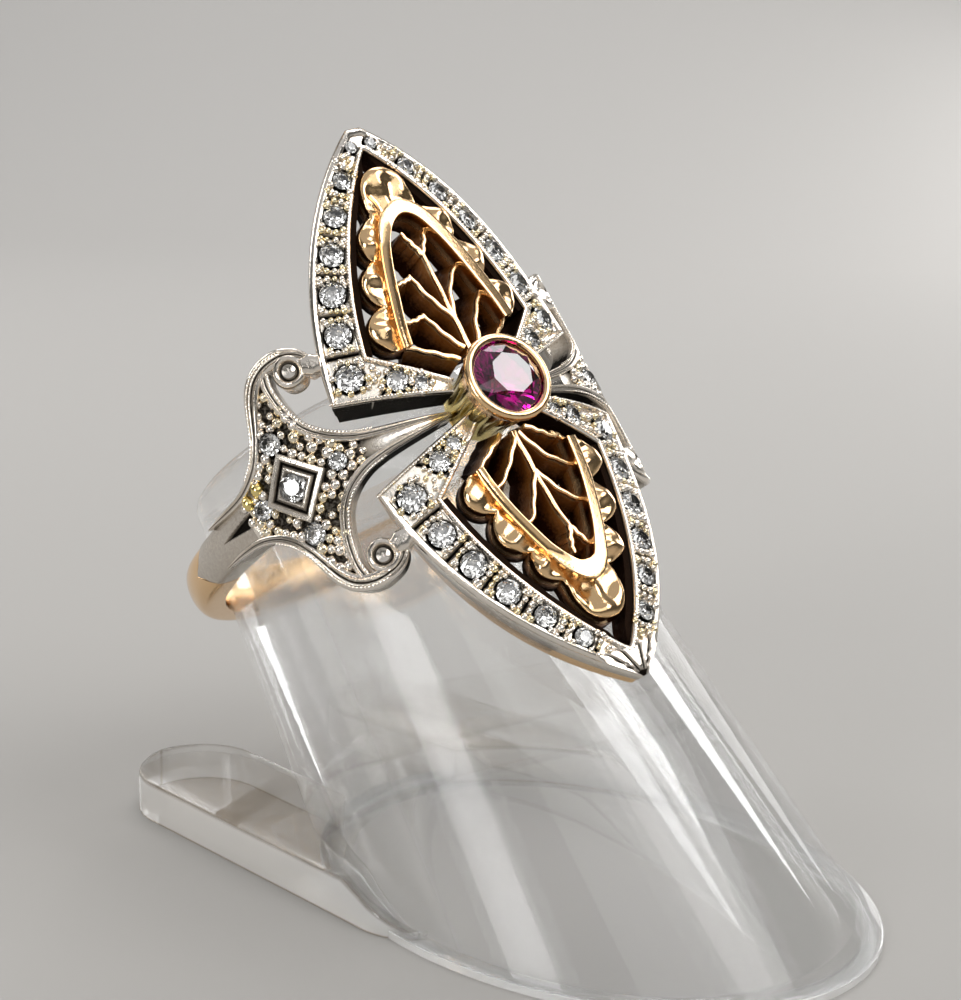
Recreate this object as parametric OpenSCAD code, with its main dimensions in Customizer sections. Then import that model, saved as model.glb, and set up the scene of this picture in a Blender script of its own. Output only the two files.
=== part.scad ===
// Ruby and diamond ring with a long pointed head, resting on a clear leaning ring stand.
// The table is z = 0, the stand's mirror plane is y = 0, and its tube leans towards -X.
// The origin lies under the middle of the whole, from the tube's mouth to the foot's front.
// The ring has a frame of its own: X out of the head, Z along the finger to the upper tip,
// and angles are counted round the finger from the middle of the head, towards +Y.

/* [Ring] */
// Radius of the finger hole
finger_r = 8.85; // [8.8:0.05:9.2]
// Thickness of the shank
shank_t = 1.45; // [1.2:0.05:1.7]
// Width of the shank along the finger
shank_w = 2.2; // [1.8:0.1:2.4]
// Half angle of the gold part of the shank, at the back of the finger
shank_half_angle = 91; // [88:1:92]

/* [Head] */
// Radius of the head's top face about the finger's axis
head_r = 12.57; // [12.4:0.01:13]
// Half length of the head along the finger
head_half_length = 14; // [13.8:0.1:14.2]
// Half width of the outline's two arcs at the middle, measured round the curve
outline_half_width = 7.25; // [7.1:0.05:7.4]
// Half length at which the outline's two arcs would meet
outline_half_length = 14.3; // [14.25:0.05:14.5]
// Half width of the inner arcs at the middle
window_half_width = 5; // [4.9:0.05:5.1]
// Half length at which the inner arcs meet
window_half_length = 12.85; // [12.7:0.05:12.95]
// Angle of the arms' outer edges, in the plan of the head
arm_outer_angle = 16.9; // [16:0.1:18]
// Angle of the arms' inner edges, in the plan of the head
arm_inner_angle = 37.8; // [37:0.1:39]
// Depth of the head's wall at the tips
tip_depth = 1.1; // [1:0.05:1.3]
// Depth of the head's wall at the side corners
corner_depth = 3; // [2.6:0.1:3.1]

/* [Stones] */
// Radius of the ruby
ruby_r = 1.8; // [1.6:0.05:1.85]
// Height of the bezel's rim above the head
bezel_rise = 1.6; // [1.4:0.1:1.8]
// Radius of the diamonds at the side corners
corner_stone_r = 0.64; // [0.55:0.01:0.68]
// Radius of the first diamond along a side
side_stone_r = 0.6; // [0.5:0.01:0.62]
// Radius of the last diamond along a side, next to a tip
last_stone_r = 0.44; // [0.35:0.01:0.46]
// Distance between diamonds along a side
side_pitch = 1.9; // [1.7:0.05:1.95]

/* [Shoulders] */
// Angle of the shoulders' square settings from the middle of the head
square_angle = 47; // [46:1:48]
// Angle of the scrolls from the middle of the head
scroll_angle = 36.7; // [36:0.1:37.5]
// Distance of the scrolls from the middle of the finger hole, along the finger
scroll_z = 4.6; // [4.5:0.05:4.7]
// Outer radius of a scroll
scroll_r = 0.78; // [0.7:0.01:0.85]

/* [Stand] */
// Angle between the tube's axis and the table
lean = 50.5; // [50:0.5:52]
// Outer radius of the tube at the ring
tube_r = 8.64; // [8.5:0.01:8.68]
// Growth of the tube's radius for each millimetre towards the table
tube_taper = 0.102; // [0.1:0.001:0.104]
// Wall of the tube
tube_wall = 1.2; // [1:0.1:1.6]
// Length of the tube above the ring's middle
tube_top = 4; // [3.5:0.1:5]
// Distance along the axis from the table to the ring's middle
ring_height = 20.1; // [20:0.1:21]
// Turn of the ring about the tube
ring_turn = 13.5; // [0:0.5:15]
// Thickness of the two flat feet
foot_h = 2; // [1.6:0.1:2.4]
// Radius of a foot's rounded end
foot_end_r = 3.2; // [2.8:0.1:3.3]
// Distance from the stand's middle line to the middle of a foot's rounded end
foot_spread = 6.75; // [6.5:0.05:7.2]
// Distance from the middle of the tube's foot to the far ends of the feet
foot_reach = 21.6; // [20.8:0.1:21.6]

/* [Hidden] */
$fn = 64;
gap = 0.05;
side_stones = 5;
seat_gap = 0.04;
mm_to_deg = 180 / (PI * head_r);
corner_angle = 33;
hub_r = 2.1;
collet_hole_r = 1.75;
arc_steps = 14;
sides = ["left", "right"];
fans = ["upper", "lower"];
side_stone_names = [for (k = [1 : side_stones]) str("side_", k)];
fan_stone_names = concat(side_stone_names, ["corner", "arm", "near"]);

// Plan of the head: s runs round the curve of the head, z along the finger

// Radius of an arc that passes through the tips and has this half width
function arc_radius(half_w, half_l) = (half_w * half_w + half_l * half_l) / (2 * half_w);

// Half width of a pair of arcs at a place along the finger
function arc_half(z, half_w, half_l) =
    let (r = arc_radius(half_w, half_l)) half_w - r + sqrt(max(0, r * r - z * z));

// A list of plan points in the mirror plane's other half, in reverse order
function mirrored(points) = [for (i = [len(points) - 1 : -1 : 0]) [-points[i][0], points[i][1]]];

// Point of the plan on a ray from the middle of the head
function on_ray(angle, distance) = [distance * cos(angle), distance * sin(angle)];

// Place where a ray from the middle meets a pair of arcs, found by halving
function ray_hit(angle, half_w, half_l, low = 1, high = 12, n = 24) =
    let (mid = (low + high) / 2, p = on_ray(angle, mid))
    n == 0 ? p
    : p[0] < arc_half(p[1], half_w, half_l)
        ? ray_hit(angle, half_w, half_l, mid, high, n - 1)
        : ray_hit(angle, half_w, half_l, low, mid, n - 1);

// Half of a fan's edge: along an arm, round the corner and up to the tip
function half_edge(angle, start, half_w, half_l, top_z) =
    let (corner = ray_hit(angle, half_w, half_l))
    concat(
        [on_ray(angle, start), on_ray(angle, (start + norm(corner)) / 2)],
        [for (i = [0 : arc_steps])
            let (z = corner[1] + (top_z - corner[1]) * i / arc_steps)
            [arc_half(z, half_w, half_l), z]]
    );

function fan_outer() = let (h = half_edge(arm_outer_angle, 1.95, outline_half_width,
    outline_half_length, head_half_length)) concat(h, mirrored(h));

function fan_inner() = let (h = half_edge(arm_inner_angle, 1.95, window_half_width,
    window_half_length, window_half_length - 0.02)) concat(h, mirrored(h));

// Radii of the head's top and underside at an angle round the finger
head_top = function (a) head_r;
head_bottom = function (a)
    head_r - tip_depth - (corner_depth - tip_depth) * min(abs(a), corner_angle + 3) / corner_angle;

// Radii of a shoulder's top and underside, from the middle of the head down to the shank
shank_r = finger_r + shank_t;
shoulder_top = function (a) lookup(abs(a),
    [[8, 11.4], [25, 11.95], [37, 12.4], [47, 12.0], [60, 11.3], [75, 10.7], [92, shank_r]]);
shoulder_bottom = function (a) lookup(abs(a),
    [[8, 10.4], [25, 10.75], [37, 11.1], [47, 10.6], [60, 9.8], [75, 9.1], [92, finger_r]]);

// Point in space from a plan point and a radius
function bent(p, r) = [r * cos(p[0] * mm_to_deg), r * sin(p[0] * mm_to_deg), p[1]];
function bent_all(points, radius) = [for (p = points) bent(p, radius(p[0] * mm_to_deg))];

// Two triangles of a four-sided face
function quad(a, b, c, d) = [[a, b, c], [a, c, d]];

// Solid between an outer and an inner closed outline with equally many points
module bent_frame(outer, inner, top, bottom) {
    n = len(outer);
    points = concat(bent_all(outer, top), bent_all(inner, top),
        bent_all(outer, bottom), bent_all(inner, bottom));
    faces = [for (i = [0 : n - 1]) let (j = (i + 1) % n) each concat(
        quad(i, i + n, j + n, j),
        quad(i + 2 * n, j + 2 * n, j + 3 * n, i + 3 * n),
        quad(i, j, j + 2 * n, i + 2 * n),
        quad(i + n, i + 3 * n, j + 3 * n, j + n))];
    polyhedron(points, faces);
}

// Direction across a path at one of its points
function across(path, i) =
    let (d = path[min(i + 1, len(path) - 1)] - path[max(i - 1, 0)], l = norm(d))
    [-d[1] / l, d[0] / l];

// Solid strip along a path in the plan, with a half width at each point
module bent_strip(path, half, top, bottom) {
    n = len(path);
    left = [for (i = [0 : n - 1]) path[i] + across(path, i) * half[i]];
    right = [for (i = [0 : n - 1]) path[i] - across(path, i) * half[i]];
    points = concat(bent_all(left, top), bent_all(right, top),
        bent_all(left, bottom), bent_all(right, bottom));
    walls = [for (i = [0 : n - 2]) let (j = i + 1) each concat(
        quad(i, j, j + n, i + n),
        quad(i + 2 * n, i + 3 * n, j + 3 * n, j + 2 * n),
        quad(i, i + 2 * n, j + 2 * n, j),
        quad(i + n, j + n, j + 3 * n, i + 3 * n))];
    ends = concat(
        quad(0, n, 3 * n, 2 * n),
        quad(n - 1, 3 * n - 1, 4 * n - 1, 2 * n - 1));
    polyhedron(points, concat(walls, ends));
}

// Puts what is drawn at the origin on the ring, with its Z pointing out from the finger
module on_ring(a, z, r) {
    rotate([0, 0, a])
        translate([r, 0, z])
            rotate([0, 90, 0])
                children();
}

// Puts a thing on the head at a plan point
module on_head(p, lift = 0) {
    on_ring(p[0] * mm_to_deg, p[1], head_r + lift)
        children();
}

// Radius of the tube where its axis meets the table, and how far its foot reaches each way
foot_r = tube_r + tube_taper * ring_height;
taper_angle = atan(tube_taper);
foot_front = foot_r * cos(taper_angle) / sin(lean - taper_angle);
foot_back = foot_r * cos(taper_angle) / sin(lean + taper_angle);
foot_rim = 0.3;
foot_rim_h = 0.4;
foot_root_r = 3.2;
foot_root_back = 3.1;
mouth_reach = (ring_height + tube_top) * cos(lean) + (tube_r - tube_taper * tube_top) * sin(lean);
foot_x = (mouth_reach - foot_front - foot_rim) / 2;

// Puts the tube's foot in its place and turns Z along the tube's axis
module on_tube() {
    translate([foot_x, 0, 0])
        rotate([0, lean - 90, 0])
            children();
}

// Draws the ring's own frame in its place on the stand's tube
module in_place() {
    on_tube()
        rotate([0, 0, -ring_turn])
            translate([0, 0, ring_height])
                children();
}

// Stones: [plan point, radius] of each diamond of the head's quarter on the right and upper side

channel_half_width = (outline_half_width + window_half_width) / 2 - 0.03;
channel_half_length = (outline_half_length + window_half_length) / 2 - 0.08;
channel_r = arc_radius(channel_half_width, channel_half_length);
first_side_angle = asin(5 / channel_r);
arm_angle = (arm_outer_angle + arm_inner_angle) / 2;

function side_place(k) =
    let (t = first_side_angle + k * side_pitch / channel_r * 180 / PI)
    [channel_half_width - channel_r + channel_r * cos(t), channel_r * sin(t)];

function side_radius(k) =
    side_stone_r + (last_stone_r - side_stone_r) * pow(k / (side_stones - 1), 2);

// Distance of the corner, arm and near stones from the middle of the head, and their radii
arm_stone_reach = [6.55, 4.45, 3.35];
arm_stone_r = [corner_stone_r, 0.5, 0.36];
tip_stone_place = [0.55, 13.12];
tip_stone_r = 0.3;

quarter_stones = concat(
    [for (k = [0 : side_stones - 1]) [side_place(k), side_radius(k)]],
    [for (k = [0 : 2]) [on_ray(arm_angle, arm_stone_reach[k]), arm_stone_r[k]]]
);

function flip(p, across_sign, along_sign) = [p[0] * across_sign, p[1] * along_sign];
function side_sign(s) = s == "right" ? 1 : -1;
function fan_sign(f) = f == "upper" ? 1 : -1;

// Bore that holds a stone of this radius, with an open bottom for light
module seat(r) {
    translate([0, 0, -0.5])
        cylinder(r = r + seat_gap, h = 1);
    translate([0, 0, -4.5])
        cylinder(r = r * 0.55, h = 5);
}

// Round stone with an eight-sided table, crown and pavilion, its girdle at z = 0
module single_cut(r) {
    table_r = r * 0.6;
    crown_h = r * 0.28;
    pavilion_h = r * 0.8;
    girdle_h = r * 0.06;
    circle_at = function (radius, z) [for (k = [0 : 7]) [radius * cos(45 * k), radius * sin(45 * k), z]];
    points = concat(circle_at(table_r, crown_h), circle_at(r, girdle_h),
        circle_at(r, -girdle_h), [[0, 0, -pavilion_h]]);
    faces = concat(
        [[7, 6, 5, 4, 3, 2, 1, 0]],
        [for (k = [0 : 7]) let (j = (k + 1) % 8) each concat(
            quad(k, j, j + 8, k + 8),
            quad(k + 8, j + 8, j + 16, k + 16),
            [[k + 16, j + 16, 24]])]
    );
    polyhedron(points, faces);
}

// Round brilliant with star, kite and girdle facets, its girdle at z = 0
module brilliant(r) {
    table = [for (k = [0 : 7]) [0.56 * r * cos(45 * k), 0.56 * r * sin(45 * k), 0.3 * r]];
    kite = [for (k = [0 : 7]) [0.8 * r * cos(45 * k + 22.5), 0.8 * r * sin(45 * k + 22.5), 0.17 * r]];
    girdle = [for (k = [0 : 15]) [r * cos(22.5 * k), r * sin(22.5 * k), 0.03 * r]];
    lower = [for (p = girdle) [p[0], p[1], -0.03 * r]];
    waist = [for (k = [0 : 7]) [0.3 * r * cos(45 * k), 0.3 * r * sin(45 * k), -0.62 * r]];
    points = concat(table, kite, girdle, lower, waist, [[0, 0, -0.86 * r]]);
    faces = concat(
        [[7, 6, 5, 4, 3, 2, 1, 0]],
        [for (k = [0 : 7]) let (j = (k + 1) % 8) each [
            [k, j, k + 8],
            [k, k + 8, 16 + 2 * k],
            [j, 16 + 2 * j, k + 8],
            [k + 8, 17 + 2 * k, 16 + 2 * k],
            [k + 8, 16 + 2 * j, 17 + 2 * k],
            [48 + k, 32 + 2 * k, 33 + 2 * k],
            [48 + k, 33 + 2 * k, 48 + j],
            [48 + j, 33 + 2 * k, 32 + 2 * j],
            [48 + k, 48 + j, 56]]],
        [for (k = [0 : 15]) let (j = (k + 1) % 16) each quad(16 + k, 16 + j, 32 + j, 32 + k)]
    );
    polyhedron(points, faces);
}

// Shoulders

// Place along the curve and half width of a shoulder's middle blade, from the collet to the shank
blade = [[1.9, 0.2], [3, 0.28], [4, 0.36], [5, 0.5], [6, 0.68], [7, 1.0], [8, 1.65], [9, 2.85],
    [9.6, 3.7], [10.1, 4.2], [10.6, 3.75], [11, 3.1], [11.6, 2.2], [12.5, 1.6], [13.5, 1.25],
    [15, 1.1], [19.2, 1.1], [20, 0.9], [20.8, 0.35]];
// Path of a scroll's arm, from the plaque to the scroll, and its half width
scroll_path = [[10.35, 3.5], [10.0, 4.25], [9.5, 4.75], [8.95, 4.95], [8.4, 4.98]];
scroll_half = [0.45, 0.42, 0.4, 0.38, 0.3];
scroll_place = [scroll_angle / mm_to_deg, scroll_z];
small_stone_r = 0.42;
small_stones = [[36.5, 0], [57, 0], [47.8, 2.25], [47.8, -2.25]];
square_r = 0.56;
square_half = 0.92;

module blade_solid() {
    bent_strip([for (b = blade) [b[0], 0]], [for (b = blade) b[1]],
        shoulder_top, shoulder_bottom);
}

// Volute at the end of a scroll's arm, with its drilled cup and the short bar to the fan
module volute() {
    difference() {
        on_ring(scroll_angle, scroll_z, shoulder_top(scroll_angle) - 1.2)
            cylinder(r = scroll_r, h = 1.25);
        on_ring(scroll_angle, scroll_z, shoulder_top(scroll_angle) - 0.5)
            cylinder(r = scroll_r * 0.55, h = 1);
    }
    bent_strip([[scroll_place[0] - scroll_r * 0.8, 4.4], [6.3, 4.2]], [0.25, 0.25],
        function (a) head_r - 0.25, function (a) head_r - 1.1);
}

// Raised square frame round the shoulder's middle stone
module square_frame() {
    on_ring(square_angle, 0, shoulder_top(square_angle) - 0.3)
        rotate([0, 0, 45])
            difference() {
                translate([-square_half, -square_half, 0])
                    cube([2 * square_half, 2 * square_half, 0.5]);
                translate([-square_half + 0.2, -square_half + 0.2, -0.1])
                    cube([2 * square_half - 0.4, 2 * square_half - 0.4, 1]);
            }
}

// Right shoulder, before it is mirrored for the left
module shoulder() {
    difference() {
        union() {
            blade_solid();
            for (m = [0, 1])
                mirror([0, 0, m]) {
                    bent_strip(scroll_path, scroll_half, shoulder_top, shoulder_bottom);
                    volute();
                }
        }
        on_ring(square_angle, 0, shoulder_top(square_angle))
            seat(square_r);
        for (p = small_stones)
            on_ring(p[0], p[1], shoulder_top(p[0]))
                seat(small_stone_r);
    }
    square_frame();
}

module fan() {
    difference() {
        bent_frame(fan_outer(), fan_inner(), head_top, head_bottom);
        for (q = quarter_stones, s = [-1, 1])
            on_head(flip(q[0], s, 1))
                seat(q[1]);
    }
}

// Pieces

// Tapered tube about the Z axis, from below the table to its open top
module tube(inset, below, above) {
    translate([0, 0, -below])
        cylinder(r1 = foot_r + tube_taper * below - inset,
            r2 = tube_r - tube_taper * above - inset,
            h = below + ring_height + above, $fn = 96);
}

// Outline of the low rim round the tube's foot
module rim_outline() {
    translate([(foot_front - foot_back) / 2 + foot_x, 0])
        scale([(foot_front + foot_back) / 2 + foot_rim, foot_r + foot_rim])
            circle(r = 1, $fn = 96);
}

// Outline of one flat foot, from the tube's flank to its rounded end under the ring
module foot_outline() {
    hull() {
        translate([foot_x - foot_reach + foot_end_r, foot_spread])
            circle(r = foot_end_r, $fn = 48);
        translate([foot_x - foot_root_back, foot_r + foot_rim - foot_root_r])
            circle(r = foot_root_r, $fn = 48);
    }
}

module ring_stand() {
    color([0.85, 0.88, 0.9, 0.35])
        difference() {
            union() {
                intersection() {
                    on_tube()
                        tube(0, 20, tube_top);
                    translate([-60, -30, 0])
                        cube([120, 60, 60]);
                }
                linear_extrude(foot_rim_h)
                    rim_outline();
                linear_extrude(foot_h)
                    for (side = [-1, 1])
                        scale([1, side])
                            foot_outline();
            }
            on_tube()
                tube(tube_wall, 20, tube_top + 1);
        }
}

module shank() {
    color([0.84, 0.62, 0.36])
        in_place()
            difference() {
                rotate([0, 0, 180 - shank_half_angle])
                    rotate_extrude(angle = 2 * shank_half_angle, $fn = 96)
                        intersection() {
                            translate([finger_r, -shank_w / 2])
                                square([shank_t, shank_w]);
                            translate([finger_r - 0.9, 0])
                                circle(r = shank_t + 0.9, $fn = 64);
                        }
                for (m = [0, 1])
                    mirror([0, m, 0])
                        bent_strip([for (b = blade) [b[0] + 0.02, 0]], [for (b = blade) b[1] + 1.6 * gap],
                            function (a) shoulder_top(a) + 1, function (a) shoulder_bottom(a) - 1);
            }
}

module mount() {
    color([0.78, 0.78, 0.77])
        in_place()
            difference() {
                union() {
                    for (m = [0, 1])
                        mirror([0, 0, m])
                            fan();
                    for (m = [0, 1])
                        mirror([0, m, 0])
                            shoulder();
                    on_head([0, 0], -2.2)
                        cylinder(r = hub_r, h = 2);
                }
                on_head([0, 0], -4)
                    cylinder(r = collet_hole_r, h = 6);
                for (s = [-1, 1])
                    on_head(flip(tip_stone_place, s, 1))
                        seat(tip_stone_r);
            }
}

module ruby_collet() {
    rim = ruby_r + 0.42;
    color([0.86, 0.64, 0.4])
        in_place()
            on_head([0, 0])
                difference() {
                    rotate_extrude()
                        polygon([[1.1, -1.9], [collet_hole_r - 0.2, -1.9], [collet_hole_r - 0.15, -0.1],
                            [rim - 0.12, bezel_rise - 0.5], [rim, bezel_rise - 0.25],
                            [rim - 0.06, bezel_rise - 0.04], [rim - 0.16, bezel_rise],
                            [ruby_r + 0.06, bezel_rise - 0.06], [ruby_r + seat_gap, bezel_rise - 0.2],
                            [ruby_r + seat_gap, bezel_rise - 0.5], [1.3, bezel_rise - 1.1], [1.1, -0.6]]);
                    for (k = [0 : 17])
                        rotate([0, 0, 20 * k])
                            translate([1.75, 0, -0.3])
                                rotate([0, 16, 0])
                                    cylinder(r = 0.12, h = 1.2, $fn = 16);
                }
}

module ruby() {
    color([0.72, 0.06, 0.3])
        in_place()
            on_head([0, 0], bezel_rise - 0.28)
                brilliant(ruby_r);
}

// Leaf tracery in a fan's window. Each table has the upper leaf's values, then the lower one's.
// Arched openings: [place along the finger, half width], and the place of the top
leaf_windows = [
    [[2.75, 0.85], [3.45, 2.55], [5, 2.18], [6.9, 1.65], [8.1, 1.17], [8.85, 0.68]],
    [[2.7, 0.85], [3.35, 2.32], [4.5, 2.08], [5.7, 1.75], [7, 1.32], [8.1, 0.66]]
];
leaf_window_tops = [9.2, 8.55];
// Outlines of the bands round the openings
leaf_bands = [
    [[2.22, 0.95], [3.05, 3.15], [5.3, 2.7], [6.9, 2.2], [8.4, 1.65], [9.4, 1.02]],
    [[2.22, 0.95], [2.95, 2.88], [5, 2.5], [6.6, 2.05], [8, 1.5], [9, 0.86]]
];
leaf_band_tops = [9.95, 9.6];
// Lobes along each side: place, distance from the middle line, and radius
leaf_lobes = [
    [[3.95, 3.42, 0.85], [6.3, 2.78, 0.76], [8.45, 2.02, 0.66]],
    [[3.75, 3.42, 0.85], [6.15, 2.78, 0.76], [8.15, 1.92, 0.68]]
];
apex_lobes = [[10.88, 1], [10.45, 1.05]];
vein_half = 0.12;
// Veins, as plan points from the stem to the end
leaf_veins = [
    [
        [[0.1, 2.3], [0.12, 3.9], [0.16, 5.4], [0.2, 6.4], [0.2, 7.3]],
        [[0.2, 7.2], [0, 7.7], [-0.35, 8.3], [-0.8, 8.85]],
        [[0.2, 7.2], [0.6, 7.75], [1.1, 8.3]],
        [[0.1, 3.9], [-0.3, 4.6], [-0.65, 5.3], [-1, 6.2]],
        [[-0.95, 6.15], [-1.3, 6.25], [-1.9, 6.35]],
        [[-0.2, 2.5], [-0.75, 3.2], [-1.35, 4.3]],
        [[-1.3, 4.2], [-1.8, 4.3], [-2.35, 4.45]],
        [[0.15, 3.9], [0.6, 5], [1.1, 5.8], [1.9, 6.5]],
        [[0.7, 2.5], [1.1, 3.4], [1.6, 4.1], [2.35, 4.85]]
    ],
    [
        [[0, 2.3], [0.02, 3.6], [0.05, 5], [0.15, 6], [0.3, 7]],
        [[0.3, 6.9], [0, 7.6], [-0.35, 8.3], [-0.6, 8.7]],
        [[0.3, 6.9], [0.55, 7.5], [0.85, 8.15]],
        [[-0.2, 2.5], [-0.8, 3.1], [-1.5, 3.75], [-2.3, 4.15]],
        [[0, 4.1], [-0.5, 4.8], [-1.1, 5.7], [-1.7, 6.15]],
        [[0.2, 2.5], [0.9, 3.3], [1.5, 3.85], [2.25, 4.3]],
        [[0.05, 4], [0.6, 4.95], [1.15, 5.6], [1.8, 6]],
        [[0.7, 2.4], [1.2, 2.55], [2.1, 2.95]]
    ]
];

leaf_top = function (a) head_r + 0.15;
leaf_bottom = function (a) head_r - 1.3;
vein_top = function (a) head_r - 0.25;
vein_bottom = function (a) head_r - 1.4;

function leaf_loop(table, top) =
    let (h = [for (t = table) [t[1], t[0]]])
    concat(h, [[0, top]], mirrored(h));

module leaf(k) {
    bent_frame(leaf_loop(leaf_bands[k], leaf_band_tops[k]),
        leaf_loop(leaf_windows[k], leaf_window_tops[k]), leaf_top, leaf_bottom);
    for (s = [-1, 1], l = leaf_lobes[k])
        on_head([s * l[1], l[0]], -1.2)
            cylinder(r = l[2], h = 1.2, $fn = 32);
    difference() {
        on_head([0, apex_lobes[k][0]], -1.2)
            cylinder(r = apex_lobes[k][1], h = 1.3, $fn = 40);
        on_head([0, apex_lobes[k][0] + 0.05], -0.6)
            cylinder(r = apex_lobes[k][1] - 0.45, h = 1, $fn = 32);
    }
    for (v = leaf_veins[k])
        bent_strip(v, [for (p = v) vein_half], vein_top, vein_bottom);
}

module leaf_tracery(f) {
    color([0.85, 0.6, 0.34])
        in_place()
            mirror([0, 0, f == "upper" ? 0 : 1])
                leaf(f == "upper" ? 0 : 1);
}

module diamond_at(p, r, radius) {
    color([0.9, 0.92, 0.95])
        in_place()
            on_ring(p[0], p[1], radius - 0.05)
                single_cut(r);
}

module shoulder_diamonds(s) {
    for (p = small_stones)
        diamond_at([side_sign(s) * p[0], p[1]], small_stone_r, shoulder_top(p[0]));
}

ring_stand();
shank();
mount();
ruby_collet();
ruby();
for (f = fans)
    leaf_tracery(f);
for (f = fans, s = sides, k = [0 : len(fan_stone_names) - 1])
    diamond_at([side_sign(s) * quarter_stones[k][0][0] * mm_to_deg,
            fan_sign(f) * quarter_stones[k][0][1]], quarter_stones[k][1], head_r);
for (s = sides)
    diamond_at([side_sign(s) * tip_stone_place[0] * mm_to_deg, tip_stone_place[1]],
            tip_stone_r, head_r);
for (s = sides)
    diamond_at([side_sign(s) * square_angle, 0], square_r, shoulder_top(square_angle));
for (s = sides)
    shoulder_diamonds(s);
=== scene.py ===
# %% [markdown]
# # A ruby and diamond ring on a clear ring stand
#
# The ring is a long pointed head on a gold band. White metal borders hold small diamonds,
# gold leaves fill the two windows, and a ruby sits in the middle. This lesson builds the
# looks over an exact model of the same object, which is loaded first and called the frame.

# %% Load the frame
import math
import bmesh
import bpy
import numpy as np
from mathutils import Matrix, Vector


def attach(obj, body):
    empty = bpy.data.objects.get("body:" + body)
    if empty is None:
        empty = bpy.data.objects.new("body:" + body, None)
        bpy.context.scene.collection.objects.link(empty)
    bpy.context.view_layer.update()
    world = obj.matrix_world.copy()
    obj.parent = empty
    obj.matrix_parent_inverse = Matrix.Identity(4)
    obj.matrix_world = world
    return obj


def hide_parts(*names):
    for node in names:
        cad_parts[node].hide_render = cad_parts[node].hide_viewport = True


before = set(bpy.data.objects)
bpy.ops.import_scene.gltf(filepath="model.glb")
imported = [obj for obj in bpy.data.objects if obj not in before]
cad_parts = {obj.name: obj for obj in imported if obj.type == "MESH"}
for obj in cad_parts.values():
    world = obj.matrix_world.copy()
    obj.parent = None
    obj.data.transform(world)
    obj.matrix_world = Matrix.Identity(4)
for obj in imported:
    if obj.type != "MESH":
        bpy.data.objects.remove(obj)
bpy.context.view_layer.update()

# %% [markdown]
# ## Sizes
#
# The ring leans with the stand's tube, and is turned a little about it. All later numbers
# are millimetres, and are turned into metres only where a mesh is made.

# %% Sizes
HEAD_R = 12.57        # radius of the head's top about the finger's axis
LEAN = math.radians(50.5)
TURN = math.radians(13.5)
RING_HEIGHT = 20.1    # along the tube's axis, from the table to the ring's middle
FOOT_X = 3.128        # where the tube's axis meets the table
FINGER_R = 8.85       # radius of the finger hole
FANS = (("upper", 1), ("lower", -1))
SIDES = (("right", 1), ("left", -1))


def turned(axis, angle):
    """The 4 x 4 matrix of a turn about one axis."""
    return np.array(Matrix.Rotation(angle, 4, axis))


def moved(x, y, z):
    """The 4 x 4 matrix of a move."""
    return np.array(Matrix.Translation((x, y, z)))


TUBE = moved(FOOT_X, 0, 0) @ turned("Y", LEAN - math.pi / 2)
RING = TUBE @ turned("Z", -TURN) @ moved(0, 0, RING_HEIGHT)

# %% [markdown]
# ## Bending a plan round the finger
#
# A jeweller saws a head like this flat and then curves it. The code does the same: each
# part is drawn in a flat plan, and one function bends the plan into a cylinder about the
# finger. Whole arrays go through it at once.


# %% Bend a plan round the finger
def place(points, matrix):
    """Points p of the last axis become matrix p."""
    return points @ matrix[:3, :3].T + matrix[:3, 3]


def bend(across, along, lift):
    """Plan to ring, then to the stand.

    With a = across / R and r = R + lift: x = r cos a, y = r sin a, z = along.
    """
    across, along, lift = np.broadcast_arrays(across, along, lift)
    angle = across / HEAD_R
    r = HEAD_R + lift
    return place(np.stack([r * np.cos(angle), r * np.sin(angle), along], -1), RING)


def bent(rows, flip=1):
    """bend() of rows whose last axis starts with across, along and lift; flip -1 mirrors along."""
    return bend(rows[..., 0], flip * rows[..., 1], rows[..., 2])


# %% [markdown]
# ## From a grid of points to a mesh
#
# Every new piece is a function of two parameters, sampled on a grid. One helper turns such
# a grid, or many at once, into a closed mesh. Rows that shrink to a point are welded there.


def surface(name, points, material, wrap_rows=False, wrap_columns=True, sharp=40, **values):
    """A mesh of grids of points, in millimetres, joined in four-sided faces.

    points is (rows, columns, 3) or (grids, rows, columns, 3). Face (i, j) has the corners
    (i, j), (i + 1, j), (i + 1, j + 1) and (i, j + 1). values are numbers for each point.
    """
    points = np.asarray(points, float)
    points = points.reshape((-1,) + points.shape[-3:])
    number = np.arange(points[..., 0].size).reshape(points.shape[:3])
    if wrap_rows:
        number = np.concatenate([number, number[:, :1]], 1)
    if wrap_columns:
        number = np.concatenate([number, number[:, :, :1]], 2)
    corners = [number[:, :-1, :-1], number[:, 1:, :-1], number[:, 1:, 1:], number[:, :-1, 1:]]
    quads = np.stack(corners, -1).reshape(-1, 4)
    mesh = bpy.data.meshes.new(name)
    mesh.vertices.add(points[..., 0].size)
    mesh.vertices.foreach_set("co", (points / 1000).ravel())
    mesh.loops.add(quads.size)
    mesh.loops.foreach_set("vertex_index", quads.ravel())
    mesh.polygons.add(len(quads))
    mesh.polygons.foreach_set("loop_start", np.arange(0, quads.size, 4))
    for key, numbers in values.items():
        data = mesh.attributes.new(key, "FLOAT", "POINT").data
        data.foreach_set("value", np.broadcast_to(numbers, points.shape[:3]).ravel())
    mesh.update()
    return finished(name, mesh, material, sharp)


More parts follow.
